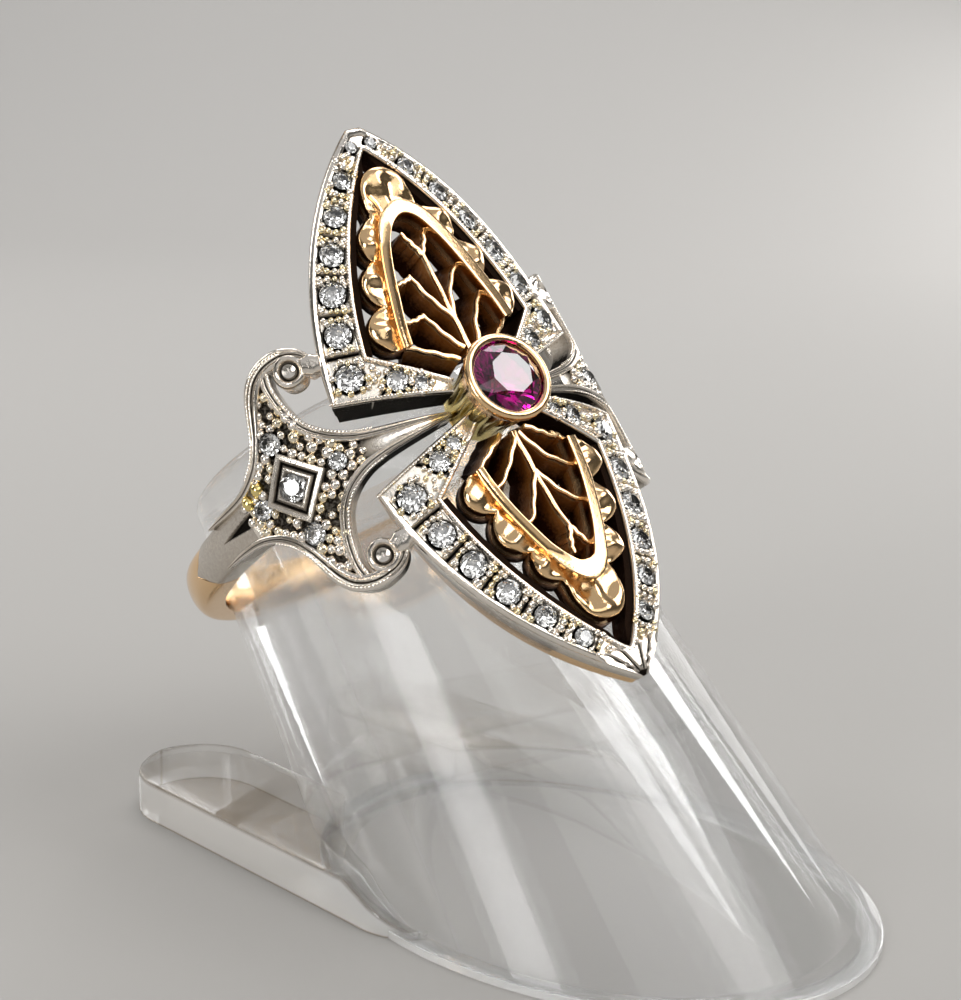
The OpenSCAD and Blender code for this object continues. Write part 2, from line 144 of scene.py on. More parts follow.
def finished(name, mesh, material, sharp):
    """Welds coincident points, turns the faces outward and adds the mesh to the scene."""
    work = bmesh.new()
    work.from_mesh(mesh)
    bmesh.ops.remove_doubles(work, verts=work.verts, dist=2e-7)
    bmesh.ops.dissolve_degenerate(work, edges=work.edges, dist=1e-7)
    bmesh.ops.recalc_face_normals(work, faces=work.faces)
    work.to_mesh(mesh)
    work.free()
    mesh.polygons.foreach_set("use_smooth", np.full(len(mesh.polygons), sharp > 0))
    if sharp > 0:
        mesh.set_sharp_from_angle(angle=math.radians(sharp))
    mesh.materials.append(material)
    piece = bpy.data.objects.new(name, mesh)
    bpy.context.scene.collection.objects.link(piece)
    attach(piece, "root")
    print(name, len(mesh.polygons), "faces")
    return piece


# %% [markdown]
# ## Paths and bars
#
# Rails, ribs and bands are bars: one section carried along a path. The path is a smooth
# curve through a few points. The section can change its width along the way.


# %% Paths and bars
def spline(points, count):
    """A Catmull-Rom curve through the points, sampled evenly along its length.

    Between a and b, with tangents A and B: p = (2t3-3t2+1) a + (t3-2t2+t) A + (3t2-2t3) b + (t3-t2) B.
    """
    points = np.asarray(points, float)
    slope = np.gradient(points, axis=0)
    t = np.linspace(0, len(points) - 1, 40 * len(points))
    i = np.minimum(t.astype(int), len(points) - 2)
    t = (t - i)[:, None]
    curve = ((2 * t**3 - 3 * t**2 + 1) * points[i] + (t**3 - 2 * t**2 + t) * slope[i]
             + (3 * t**2 - 2 * t**3) * points[i + 1] + (t**3 - t**2) * slope[i + 1])
    length = np.concatenate([[0], np.cumsum(np.linalg.norm(np.diff(curve[:, :2], axis=0), axis=1))])
    wanted = np.linspace(0, length[-1], count)
    return np.stack([np.interp(wanted, length, c) for c in curve.T], -1)


def normals(path):
    """Unit vectors across a path: (-dz, ds) / |(ds, dz)|."""
    step = np.gradient(path[:, :2], axis=0)
    step /= np.linalg.norm(step, axis=1)[:, None]
    return np.stack([-step[:, 1], step[:, 0]], -1)


# %% Sections and bars
def section(half, top, bottom, round_r, groove=0.0, spread=0.0, tilt=0.0):
    """Section of a bar, (rows, columns, 2): across and height of walls, round corners and top.

    The top is sunk by groove in its middle and falls by tilt towards the side of negative
    across. The foot is wider by spread on each side.
    """
    half, top, bottom, round_r, groove, tilt = [
        np.reshape(v, (-1, 1)) for v in np.broadcast_arrays(half, top, bottom, round_r, groove, tilt)]
    turn = np.linspace(0, math.pi / 2, 4)
    side = half - round_r + round_r * np.cos(turn)
    crown = top - round_r + round_r * np.sin(turn)
    wall = np.maximum(crown[:, :1] - 0.22, bottom)
    sunk = top - groove * np.array([0.8, 1, 0.8])
    flat = (half - round_r) * np.array([0.6, 0, -0.6])
    across = np.concatenate([half + spread, half, side, flat, -side[:, ::-1], -half, -half - spread], 1)
    height = np.concatenate([bottom, wall, crown, sunk, crown[:, ::-1], wall, bottom], 1)
    height[:, 2:-2] -= tilt * (0.5 - across[:, 2:-2] / (2 * half))
    return np.stack([across, height], -1)


def closed_ends(rows):
    """Adds a first and last row that shrink to the middle of the row beside them."""
    first = np.repeat(rows[:1].mean(1, keepdims=True), rows.shape[1], 1)
    last = np.repeat(rows[-1:].mean(1, keepdims=True), rows.shape[1], 1)
    return np.concatenate([first, rows, last])


def bar_rows(path, half, top, bottom, round_r, **kind):
    """P(i, j) = path(i) + across(i, j) n(i), raised by height(i, j); kind goes to section."""
    shape = section(half * np.ones(len(path)), top, bottom, round_r, **kind)
    n = normals(path)
    plan = path[:, None, :2] + shape[..., :1] * n[:, None]
    return closed_ends(np.concatenate([plan, shape[..., 1:]], -1))


# %% [markdown]
# ## Camera
#
# The camera stands where the photograph was taken from, about nine centimetres away. It is
# placed by two unit vectors, one to the right in the picture and one into it.


# %% Camera
RIGHT = Vector((0.75882, 0.65057, 0.03075))
FORWARD = Vector((-0.62114, 0.73707, -0.26628))
camera = bpy.data.objects.new("camera", bpy.data.cameras.new("camera"))
bpy.context.scene.collection.objects.link(camera)
bpy.context.scene.camera = camera
camera.data.sensor_width = 36     # millimetres, like the lens
camera.data.lens = 73.05
camera.data.clip_start = 0.001
UP = RIGHT.cross(FORWARD).normalized()
camera.matrix_world = Matrix.Translation((0.056167, -0.070526, 0.042575)) @ Matrix(
    (RIGHT, UP, -FORWARD)).transposed().to_4x4()


# %% [markdown]
# ## Node helpers
#
# Materials are small graphs of nodes. Four helpers keep them short: one makes a material,
# one a node with its settings and links, one a noise and one a colour ramp.


# %% Node helpers
def material(name):
    """A new node material: its tree and its Principled BSDF."""
    made = bpy.data.materials.new(name)
    made.use_nodes = True
    return made, made.node_tree, made.node_tree.nodes["Principled BSDF"]


def node(tree, kind, links=(), **settings):
    """A node with settings; links are (input, output socket) pairs."""
    made = tree.nodes.new(kind)
    for key, value in settings.items():
        if hasattr(made, key):
            setattr(made, key, value)
        else:
            made.inputs[key.replace("_", " ")].default_value = value
    for target, source in links:
        tree.links.new(source, made.inputs[target])
    return made


def noise(tree, size_mm, detail=3, rough=0.5):
    """Noise whose grain is this many millimetres across, fixed to the object."""
    spot = node(tree, "ShaderNodeTexCoord").outputs["Object"]
    return node(tree, "ShaderNodeTexNoise", [("Vector", spot)], Scale=1000 / size_mm,
                Detail=detail, Roughness=rough).outputs["Fac"]


def ramp(tree, value, stops):
    """A colour ramp: stops are (position, (red, green, blue))."""
    made = node(tree, "ShaderNodeValToRGB", [("Fac", value)])
    band = made.color_ramp
    while len(band.elements) < len(stops):
        band.elements.new(0.5)
    for element, (position, colour) in zip(band.elements, stops):
        element.position = position
        element.color = (*colour, 1)
    return made.outputs["Color"]


# %% [markdown]
# ## The paper
#
# A sheet of paper runs under the stand and up behind it. It has no corner, so no line
# crosses the picture. Its grey darkens a little towards the front, as painted shade.


# %% Floor and backdrop
def sweep():
    """The table: z = 0 near the stand, then a quarter circle of radius r up to a wall.

    Along d: (d, 0) to the bend, (b + r sin a, r - r cos a) round it, then straight up.
    """
    turn = np.linspace(0, math.pi / 2, 24)
    bend_at, r, reach = 190, 120, 420
    out = np.concatenate([[-reach, -100, 0, 100], bend_at + r * np.sin(turn), [bend_at + r]])
    up = np.concatenate([[0, 0, 0, 0], r - r * np.cos(turn), [reach]])
    side = np.linspace(-reach, reach, 9)
    away = np.array([FORWARD.x, FORWARD.y]) / math.hypot(FORWARD.x, FORWARD.y)
    x = out[:, None] * away[0] + side * away[1]
    y = out[:, None] * away[1] - side * away[0]
    return np.stack([x, y, np.broadcast_to(up[:, None] - 0.02, x.shape)], -1)


paper, tree, shader = material("paper")
spot = node(tree, "ShaderNodeTexCoord").outputs["Object"]
away = node(tree, "ShaderNodeVectorMath", [(0, spot)], operation="DOT_PRODUCT")
away.inputs[1].default_value = (-0.88, 0.48, 0)
depth = node(tree, "ShaderNodeMapRange", [("Value", away.outputs["Value"])], From_Min=-0.03,
             From_Max=0.28).outputs[0]
# painted shade: the paper's grey darkens towards the front
painted_shade_tone = ramp(tree, depth, [(0.0, (0.352, 0.339, 0.32)), (1.0, (0.57, 0.555, 0.535))])
tree.links.new(painted_shade_tone, shader.inputs["Base Color"])
shader.inputs["Roughness"].default_value = 0.75
floor = surface("paper_sweep", sweep(), paper, wrap_columns=False)


# %% [markdown]
# ## Light
#
# Metal shows what it mirrors. Each large soft lamp stands where one set of faces mirrors it
# into the camera: the head's flats, the borders, the two streaks on the tube and its right
# edge. The dark room between the lamps gives the metal its contrast.

# %% Lights
AIM = (-2, -2, 16)     # a point in the ring


def lamp(name, place_mm, size_mm, power):
    """A soft rectangular lamp that points at the ring."""
    data = bpy.data.lights.new(name, "AREA")
    data.shape = "RECTANGLE"
    data.size, data.size_y = size_mm[0] / 1000, size_mm[1] / 1000
    data.energy = power
    made = bpy.data.objects.new(name, data)
    made.location = Vector(place_mm) / 1000
    made.visible_camera = False
    made.rotation_euler = (Vector(AIM) - Vector(place_mm)).to_track_quat("-Z", "Y").to_euler()
    bpy.context.scene.collection.objects.link(made)


lamp("top_softbox", (-110, 120, 260), (200, 160), 0.36)
lamp("front_softbox", (0, -250, 90), (70, 150), 0.26)
lamp("overhead_softbox", (171, 18, 208), (75, 120), 0.135)
lamp("head_lamp", (133, 95, 210), (130, 120), 0.18)
lamp("left_softbox", (-210, -60, 120), (60, 110), 0.12)
lamp("rear_softbox", (-25, 272, 70), (125, 88), 0.18)
lamp("side_softbox", (122, -86, 148), (120, 110), 0.045)

# %% Room
world = bpy.data.worlds.new("room")
bpy.context.scene.world = world
world.use_nodes = True
tree = world.node_tree
spot = node(tree, "ShaderNodeTexCoord").outputs["Generated"]
height = node(tree, "ShaderNodeSeparateXYZ", [("Vector", spot)]).outputs["Z"]
sky = ramp(tree, height, [(0.0, (0.5, 0.5, 0.49)), (0.2, (0.13, 0.13, 0.125)), (0.5, (0.1, 0.1, 0.1)),
                          (0.8, (0.62, 0.62, 0.63))])
tree.links.new(sky, tree.nodes["Background"].inputs["Color"])
tree.nodes["Background"].inputs["Strength"].default_value = 0.75
bpy.context.scene.view_settings.view_transform = "Standard"

# %% [markdown]
# ## Metals
#
# Old jewellery is bright where cloth reaches it and dark where it doesn't. Each metal
# mixes a polished colour with a dark one, oxide with painted shade, by an attribute, called
# dark, that the shapes work out from how deep a point lies.


# %% Metals
def mixed(tree, share, first, second):
    """A colour between two, each a colour or a socket, by a share from 0 to 1."""
    made = node(tree, "ShaderNodeMix", [(0, share)], data_type="RGBA")
    for slot, value in ((6, first), (7, second)):
        if isinstance(value, tuple):
            made.inputs[slot].default_value = (*value, 1)
        else:
            tree.links.new(value, made.inputs[slot])
    return made.outputs[2]


def metal(name, tones, rough=0.12, bump=0.3, grain=0.14, layer=None):
    """Polished metal that turns dull and dark where the attribute dark is 1: oxide with painted shade.

    tones are the colours when polished, half dark and darkest, from oxide with painted shade. layer
    holds those of a second metal, which shows where the attribute gold is 1.
    """
    made, tree, shader = material(name)
    dark = node(tree, "ShaderNodeAttribute", attribute_name="dark").outputs["Fac"]
    speck = noise(tree, grain, 4, 0.65)
    cloud = noise(tree, 1.3, 3)
    uneven = node(tree, "ShaderNodeMath", [(0, speck), (1, dark)], operation="MULTIPLY")
    total = node(tree, "ShaderNodeMath", [(0, uneven.outputs[0]), (1, dark)], operation="ADD")
    oxide_and_shade = node(tree, "ShaderNodeMapRange", [("Value", total.outputs[0])],
                From_Min=0.15, From_Max=1.15).outputs[0]
    colour = ramp(tree, oxide_and_shade, tuple(zip((0, 0.5, 1), tones)))
    if layer:
        share = node(tree, "ShaderNodeAttribute", attribute_name="gold").outputs["Fac"]
        colour = mixed(tree, share, colour, ramp(tree, oxide_and_shade, tuple(zip((0, 0.5, 1), layer))))
    shade = mixed(tree, cloud, (1, 1, 1), (0.9, 0.86, 0.79))
    shaded = node(tree, "ShaderNodeMix", [(6, colour), (7, shade)], data_type="RGBA",
                  blend_type="MULTIPLY")
    shaded.inputs[0].default_value = 1
    tree.links.new(shaded.outputs[2], shader.inputs["Base Color"])
    for slot, fresh, old in (("Roughness", rough, 0.5), ("Metallic", 1, 0.3),
                             ("Specular IOR Level", 0.5, 0)):
        level = node(tree, "ShaderNodeMapRange", [("Value", oxide_and_shade)], To_Min=fresh, To_Max=old)
        tree.links.new(level.outputs[0], shader.inputs[slot])
    strength = node(tree, "ShaderNodeMapRange", [("Value", oxide_and_shade)], To_Min=bump, To_Max=1.0)
    relief = node(tree, "ShaderNodeBump", [("Height", speck), ("Strength", strength.outputs[0])],
                  Distance=0.00005)
    tree.links.new(relief.outputs[0], shader.inputs["Normal"])
    return made


# polished, half dark and darkest, the dark ones oxide with painted shade; light that bounces between
# gold walls turns redder each time, so the middle gold is painted redder
GOLD = ((0.98, 0.68, 0.38), (0.36, 0.14, 0.03), (0.03, 0.008, 0.002))
SILVER = ((0.96, 0.91, 0.85), (0.4, 0.36, 0.31), (0.012, 0.01, 0.008))
BRASS = ((0.97, 0.8, 0.34), (0.45, 0.29, 0.04), (0.04, 0.022, 0.002))
white_metal = metal("white_metal", SILVER)
layered_metal = metal("layered_metal", SILVER, layer=GOLD)
yellow_gold = metal("yellow_gold", GOLD, rough=0.1, bump=0.2)
grain_metal = metal("grain_metal", SILVER, rough=0.08, layer=BRASS)
collet_gold = metal("collet_gold", GOLD, rough=0.08, bump=0.25, layer=BRASS)

# %% [markdown]
# ## The border of a fan
#
# Each half of the head is a pointed frame: two arcs that meet at the tip, and two arms
# that run to the middle. Its top has a polished rail at each edge with a sunk channel
# between. Cuts across the channel part it into cells, one for each diamond.

# %% The fan's plan
OUTER = (7.25, 14.3)      # half width and half length of the outer pair of arcs
INNER = (5.0, 12.85)
ARM = (math.radians(16.9), math.radians(37.8))   # angles of an arm's outer and inner edge
ARM_START = 1.95                                 # distance of its near end from the middle
ARM_ROWS = 90
TIPS = {"upper": 14.0, "lower": 14.22}           # half length at which each tip is cut off


def arc_radius(half_w, half_l):
    """r = (w2 + l2) / 2w."""
    return (half_w**2 + half_l**2) / (2 * half_w)


def arc_half(z, half_w, half_l):
    """Half width of a pair of arcs at z: w - r + sqrt(r2 - z2)."""
    r = arc_radius(half_w, half_l)
    return half_w - r + np.sqrt(np.maximum(r * r - z * z, 0))


def corner_reach(angle, pair):
    """Distance from the middle at which a ray meets a pair of arcs."""
    reach = np.linspace(1, 11, 4001)
    inside = reach * math.cos(angle) < arc_half(reach * math.sin(angle), *pair)
    return reach[inside][-1]


def arm_line(angle, pair):
    """The edge of an arm: (d cos a, d sin a) from near the collet to the corner."""
    reach = np.linspace(ARM_START, corner_reach(angle, pair), ARM_ROWS)[:, None]
    return reach * [math.cos(angle), math.sin(angle)]


# the pair of arcs on which the stones sit
CHANNEL = ((OUTER[0] + INNER[0]) / 2 - 0.03, (OUTER[1] + INNER[1]) / 2 - 0.08)
channel_r = arc_radius(*CHANNEL)


def arc_lines(tip_z, rows=260):
    """Outer and inner arc in step, so that lines between them run square across the border.

    For the outer point (s, z), the inner one lies on the line to the channel arc's centre
    (c, 0): slope t = z / (s - c), and its height solves z' = t (s'(z') - c) by repetition.
    """
    first = arm_line(ARM[0], OUTER)[-1, 1], arm_line(ARM[1], INNER)[-1, 1]
    z = np.linspace(first[0], tip_z, rows)[1:]
    s = arc_half(z, *OUTER)
    centre = CHANNEL[0] - channel_r
    low = z
    for _ in range(12):
        low = z / (s - centre) * (arc_half(low, *INNER) - centre)
    low = np.clip(low, first[1] + 0.02 * (z - first[0]), INNER[1] - 0.02)
    return np.stack([s, z], -1), np.stack([arc_half(low, *INNER), low], -1)


# %% Edges of a fan
def both_sides(half):
    """The half and its mirror image, from the right arm round to the left."""
    return np.concatenate([half, half[::-1] * [-1, 1]])


def edges(tip_z):
    """Outer and inner edge of a fan whose tip is cut off at tip_z."""
    outer_arc, inner_arc = arc_lines(tip_z)
    return (both_sides(np.concatenate([arm_line(ARM[0], OUTER), outer_arc])),
            both_sides(np.concatenate([arm_line(ARM[1], INNER), inner_arc])))


FAN_EDGES = {fan: edges(tip_z) for fan, tip_z in TIPS.items()}
outer_edge, inner_edge = FAN_EDGES["upper"]
print("rows along a fan's border:", len(outer_edge))

# %% [markdown]
# ## Where the diamonds sit
#
# Eight stones fill each quarter of the head: five along the side, one in the corner and
# two down the arm. Their places come from the arc that runs midway between the edges.

# %% Stones of the head
PITCH = 1.9
swing = math.asin(5 / channel_r) + np.arange(5) * PITCH / channel_r
side_stones = np.stack([CHANNEL[0] - channel_r + channel_r * np.cos(swing),
                        channel_r * np.sin(swing), 0.6 - 0.16 * (np.arange(5) / 4) ** 2], -1)
arm_mid = sum(ARM) / 2
arm_stones = np.array([[d * math.cos(arm_mid), d * math.sin(arm_mid), r]
                       for d, r in ((6.55, 0.64), (4.45, 0.5), (3.35, 0.36))])
quarter = np.concatenate([side_stones, arm_stones])
fan_stones = np.concatenate([quarter, quarter * [-1, 1, 1]])
TIP_STONES = np.array([[0.55, 13.12, 0.3], [-0.55, 13.12, 0.3]])
STONES = {"upper": np.concatenate([fan_stones, TIP_STONES]), "lower": fan_stones}
print("stones of the head:", sum(len(stones) for stones in STONES.values()))

# %% [markdown]
# ## The border's surface
#
# The border is a closed section carried round the fan. Its two parameters are the place
# along the fan and the place round the section: across the top, down the outer wall,
# under the floor and up the inner wall.


# %% Depth and cuts of the border
def bell(distance, width):
    """exp(-(d / w)2)."""
    return np.exp(-(distance / width) ** 2)


def wall_depth(across):
    """Depth of the walls: 1.1 at the middle line, growing to 3 at the corners."""
    return 1.1 + 1.9 * np.abs(across / HEAD_R) / math.radians(33)


ARM_LENGTH = 5.4              # of an arm's middle line
ARM_CUTS = (3.95, 5.3)        # distances from the middle at which an arm is cut


def cut_places(outer_edge, inner_edge):
    """Length along the fan for each row, and the lengths of the cuts: between stones and past them."""
    middle = (outer_edge + inner_edge) / 2
    line = np.cumsum(np.linalg.norm(np.diff(middle, axis=0, prepend=middle[:1]), axis=1))[:, None]
    half = len(line) // 2
    places = [line[np.argmin(np.linalg.norm(middle[:half] - s[:2], axis=1)), 0] for s in side_stones]
    arms = [line[int(ARM_ROWS * (d - ARM_START) / ARM_LENGTH), 0] for d in ARM_CUTS]
    cuts = np.array(arms + [places[0] - 0.95] + [(a + b) / 2 for a, b in zip(places, places[1:])]
                    + [places[-1] + 0.72])
    return line, np.concatenate([cuts, line[-1] - cuts])


# %% Top of the border
# the outer rail: distances from the outer edge and heights; then the inner rim, from the inner edge
RAIL = np.array([0, 0.03, 0.09, 0.2, 0.31, 0.37, 0.4])
RAIL_H = np.array([-0.15, -0.07, 0.01, 0.05, 0.01, -0.07, -0.15])
LIP = np.array([0, 0.03, 0.08, 0.19, 0.23, 0.27])
LIP_H = np.array([-0.06, -0.01, 0.03, 0.03, -0.02, -0.13])
CHANNEL_H = -0.16


def across_top(width, on_arm):
    """Distance from the outer edge, height, and 1 in the channel: rail, channel and inner rim.

    The rail is a third narrower on the arms. Where the border is narrow, all shrink with it.
    """
    small = np.minimum(width / 1.2, 1)
    lip = LIP * small
    rail = RAIL * small * (1 - 0.35 * on_arm)
    span = np.linspace(0, 1, 26)[1:-1]
    middle = rail[:, -1:] + (width - rail[:, -1:] - lip[:, -1:]) * span
    distance = np.concatenate([rail, middle, (width - lip[:, ::-1])], 1)
    height = np.concatenate([RAIL_H, np.full(len(span), CHANNEL_H), LIP_H[::-1]])
    inside = np.clip((np.minimum(distance - rail[:, -1:], width - distance - lip[:, -1:]) + 0.06) / 0.08,
                     0, 1)
    return distance, np.broadcast_to(height, distance.shape), inside


def carved(top, height, inside, line, cuts, stones):
    """Height and dark of the top: a groove exp(-(d / w)2) at each cut, a seat under each stone. The dark
    is painted shade in the grooves and round the seats, on a channel floor a little dark with oxide and
    painted shade.
    """
    height, dark = height.copy(), 0.13 * inside
    for cut in cuts:
        height -= 0.3 * inside * bell(line - cut, 0.075)
        dark = np.maximum(dark, inside * bell(line - cut, 0.09))
    for s, z, r in stones:
        away = np.hypot(top[..., 0] - s, top[..., 1] - z)
        height -= 0.35 * inside * np.clip((r + 0.1 - away) / 0.1, 0, 1)
        dark = np.maximum(dark, inside * np.clip((r + 0.12 - away) / 0.06, 0, 1))
    return height, dark


def bare_tip(top, height, dark):
    """At the tip without stones the rails run together, with two dark lines on each side, grooves dark
    with painted shade.
    """
    tip = np.clip((top[..., 1] - 12.6) / 0.3, 0, 1) * np.clip((1.7 - np.abs(top[..., 0])) / 0.2, 0, 1)
    left = OUTER[1] - top[..., 1]
    lines = sum(bell(np.abs(top[..., 0]) - slope * left, 0.06) for slope in (0.35, 0.8))
    return (height * (1 - tip) + (0.03 - 0.15 * lines) * tip,
            dark * (1 - tip) + np.minimum(lines, 0.95) * tip)


# %% Walls of the border
def inner_wall(inner_edge, inward):
    """Plan and height down the inner wall; a ledge stands into the window below the arcs' rim."""
    deep = wall_depth(inner_edge[:, :1])
    height = np.concatenate([0 * deep + [-0.1, -0.18, -0.26], -deep], 1)
    ledge = 0.3 * inward[:, None] * np.clip(np.abs(inner_edge[:, :1, None]) / 0.6 - 0.2, 0, 1)
    ledge[:ARM_ROWS] = ledge[-ARM_ROWS:] = 0
    return np.repeat(inner_edge[:, None], 4, 1) + ledge * np.array([0, 0, 1, 1])[:, None], height


def outer_wall(outer_edge, inward):
    """Plan and height up the outer wall: a gold sheet below, the white metal set on it above."""
    deep = wall_depth(outer_edge[:, :1])
    step = 0.05 * inward
    low = outer_edge + step
    height = np.concatenate([-deep, 0.05 - deep, -0.55 * deep, -0.52 * deep, -0.06 * deep], 1)
    return np.stack([low + step, low, low, outer_edge, outer_edge], 1), height


# %% Border
def border(flip, stones, outer_edge, inner_edge):
    """P(i, j) = bend(outer(i) + d(i, j) e(i), h(i, j)), with e from the outer to the inner edge."""
    toward = inner_edge - outer_edge
    width = np.linalg.norm(toward, axis=1)[:, None]
    on_arm = np.zeros((len(width), 1))
    on_arm[:ARM_ROWS] = on_arm[-ARM_ROWS:] = 1
    distance, height, inside = across_top(width, on_arm)
    top = outer_edge[:, None] + (distance / width)[..., None] * toward[:, None]
    height, dark = carved(top, height, inside, *cut_places(outer_edge, inner_edge), stones)
    if flip < 0:
        height, dark = bare_tip(top, height, dark)
    inner, inner_h = inner_wall(inner_edge, toward / width)
    outer, outer_h = outer_wall(outer_edge, toward / width)
    plan = np.concatenate([top, inner, outer], 1)
    height = np.concatenate([height, inner_h, outer_h], 1)
    flat = np.ones((len(plan), 1))
    # painted shade with oxide: the inner wall and its ledge under the arcs are dark, the outer wall a
    # little, the arms' outer walls more
    dark = np.concatenate([dark, flat * [0.6, 1, 1, 1], np.maximum(
        flat * [0.3, 0.1, 0.1, 0.35, 0.0], on_arm * [0.7, 0.9, 0.95, 0.85, 0.8])], 1)
    gold = np.concatenate([0 * top[..., 0], flat * [0.1, 0.2, 0.3, 0.8],
                           (flat - on_arm) * [1, 1, 1, 0, 0]], 1)
    rows = closed_ends(np.concatenate([plan, height[..., None], dark[..., None], gold[..., None]], -1))
    return bent(rows, flip), rows[..., 3], rows[..., 4]


for fan, flip in FANS:
    points, dark, gold = border(flip, STONES[fan], *FAN_EDGES[fan])
    surface(f"fan_{fan}", points, layered_metal, dark=dark, gold=gold)

# %% [markdown]
# ## Grains and milgrain
#
# Stones this small are held by grains: curls of metal raised with a graver and pushed
# over the stone as beads. Rows of still smaller beads, called milgrain, are rolled along
# the rails with a knurled wheel. Each bead here is a small sphere.


# %% Beads
def beads(centres, radius, lift, flip=1, rows=6, columns=8):
    """P(k, i, j) = bend(s + r sin u cos v, z + r sin u sin v, h + r cos u), u down, v round."""
    centres = np.asarray(centres, float)
    radius = np.broadcast_to(radius, len(centres))[:, None, None]
    u = np.linspace(0, math.pi, rows)[None, :, None]
    v = np.arange(columns) * 2 * math.pi / columns
    s = centres[:, 0, None, None] + radius * np.sin(u) * np.cos(v)
    z = centres[:, 1, None, None] + radius * np.sin(u) * np.sin(v)
    lift = np.broadcast_to(lift, len(centres))[:, None, None]
    return bend(s, flip * z, lift + radius * np.cos(u) + 0 * v)


def along(path, pitch, offset):
    """Evenly spaced places along a path, moved sideways by offset."""
    length = np.linalg.norm(np.diff(path, axis=0), axis=1).sum()
    dense = spline(path, max(int(length / pitch), 4))
    return dense + offset * normals(dense)


MILGRAIN_R, MILGRAIN_PITCH = 0.075, 0.15
half_rows = len(outer_edge) // 2
milgrain = []
arm, arc, last = slice(ARM_ROWS), slice(ARM_ROWS, half_rows), slice(-ARM_ROWS, None)
for line, offset in ((outer_edge[arm], 0.14), (outer_edge[last], 0.14), (inner_edge[arm], -0.15),
                     (inner_edge[last], -0.15), (inner_edge[arc], -0.15),
                     (inner_edge[half_rows:-ARM_ROWS], -0.15)):
    milgrain.append(along(line[::6], MILGRAIN_PITCH, offset))
milgrain = np.concatenate(milgrain)

# %% Grains round the stones
rng = np.random.default_rng(7)
grain_places = []
for s, z, r in fan_stones:
    toward = np.array([abs(s) + channel_r - CHANNEL[0], z])
    toward /= np.linalg.norm(toward)
    if r in arm_stones[:, 2]:
        turn = np.arange(8) * math.pi / 4 + 0.4
        ring = np.stack([np.cos(turn), np.sin(turn)], -1) * (r + 0.12)
        grain_places.append(ring + [s, z])
        continue
    side = np.array([-toward[1], toward[0]])
    for k in (-1, 1):
        for count, spread, out in ((4, 0.5, 0.76), (2, 0.47, r)):
            row = np.linspace(-spread, spread, count)[:, None] * toward + out * k * side
            grain_places.append(row * [np.sign(s), 1] + [s, z])

# %% Grains that fill what is left of the channel
TRIES, GRAIN_GAP = 9000, 0.29
GRAIN_END = {"upper": 13.4, "lower": 12.7}    # the tips beyond are plain
line, cuts = cut_places(outer_edge, inner_edge)
row = rng.integers(20, len(line) - 20, TRIES)
toward = (inner_edge - outer_edge)[row]
width = np.linalg.norm(toward, axis=1)
spots = outer_edge[row] + (rng.uniform(0.45, 1, TRIES) * (width - 0.4) / width)[:, None] * toward
free = (width > 0.8) & (np.abs(line[row] - cuts).min(1) > 0.17) & (np.abs(spots[:, 0]) > 0.9)
free &= (np.linalg.norm(spots[:, None] - fan_stones[:, :2], axis=2) > fan_stones[:, 2] + 0.14).all(1)
kept = list(np.concatenate(grain_places))
first = len(kept)
for spot in spots[free]:
    if all(math.dist(spot, other) > GRAIN_GAP for other in kept):
        kept.append(spot)
print(len(kept) - first, "grains fill the channel")
grain_places = np.array(kept)
grain_places += rng.normal(0, 0.025, grain_places.shape)
for fan, flip in FANS:
    surface(f"milgrain_{fan}", beads(milgrain, MILGRAIN_R, 0.02, flip, 5, 6), white_metal, dark=0)
    spots = grain_places[grain_places[:, 1] < GRAIN_END[fan]]
    surface(f"grains_{fan}", beads(spots, rng.uniform(0.13, 0.2, len(spots)), -0.06, flip), grain_metal,
            dark=0.0, gold=rng.choice([0, 0.1, 0.5], (len(spots), 1, 1)))

# %% [markdown]
# ## Diamonds
#
# The stones are old single cuts: an eight-sided table, a crown of slanting facets, a round
# girdle and a point below. Grey glass with a high refractive index gives the quick change
# of light and dark from facet to facet.


# %% Clear stone
def gem(name, ior, colour):
    """Clear stone: all the light goes through it, bent by its refractive index."""
    made, tree, shader = material(name)
    shader.inputs["Base Color"].default_value = (*colour, 1)
    shader.inputs["Transmission Weight"].default_value = 1
    shader.inputs["IOR"].default_value = ior
    shader.inputs["Roughness"].default_value = 0
    veil = noise(tree, 0.5, 2)
    relief = node(tree, "ShaderNodeBump", [("Height", veil)], Strength=0.12, Distance=0.00002)
    tree.links.new(relief.outputs[0], shader.inputs["Normal"])
    return made


# %% Cut stones
def cut_stone(radius):
    """Rows of rings (r cos v, r sin v, h): table, crown, girdle and culet, for each stone.

    Every second point of the crown's ring lies higher, so flat kites and triangles form.
    """
    v = np.arange(16) * math.pi / 8
    odd = np.arange(16) % 2
    ring = np.array([0, 0.58, 0.82, 1.0, 1.0, 0.5, 0])
    rise = np.array([0.3, 0.3, 0.17, 0.04, -0.04, -0.42, -0.8])
    r = np.repeat(ring[:, None], 16, 1)
    h = np.repeat(rise[:, None], 16, 1)
    r[1] = np.where(odd, 0.58 * math.cos(math.pi / 8), 0.58)
    r[2] = np.where(odd, 0.8, 0.79 * math.cos(math.pi / 8) + 0.02)
    h[2] = np.where(odd, 0.18, 0.17)
    r[5] = np.where(odd, 0.5 * math.cos(math.pi / 8), 0.5)
    radius = np.asarray(radius, float)[:, None, None]
    return radius * r * np.cos(v), radius * r * np.sin(v), radius * h


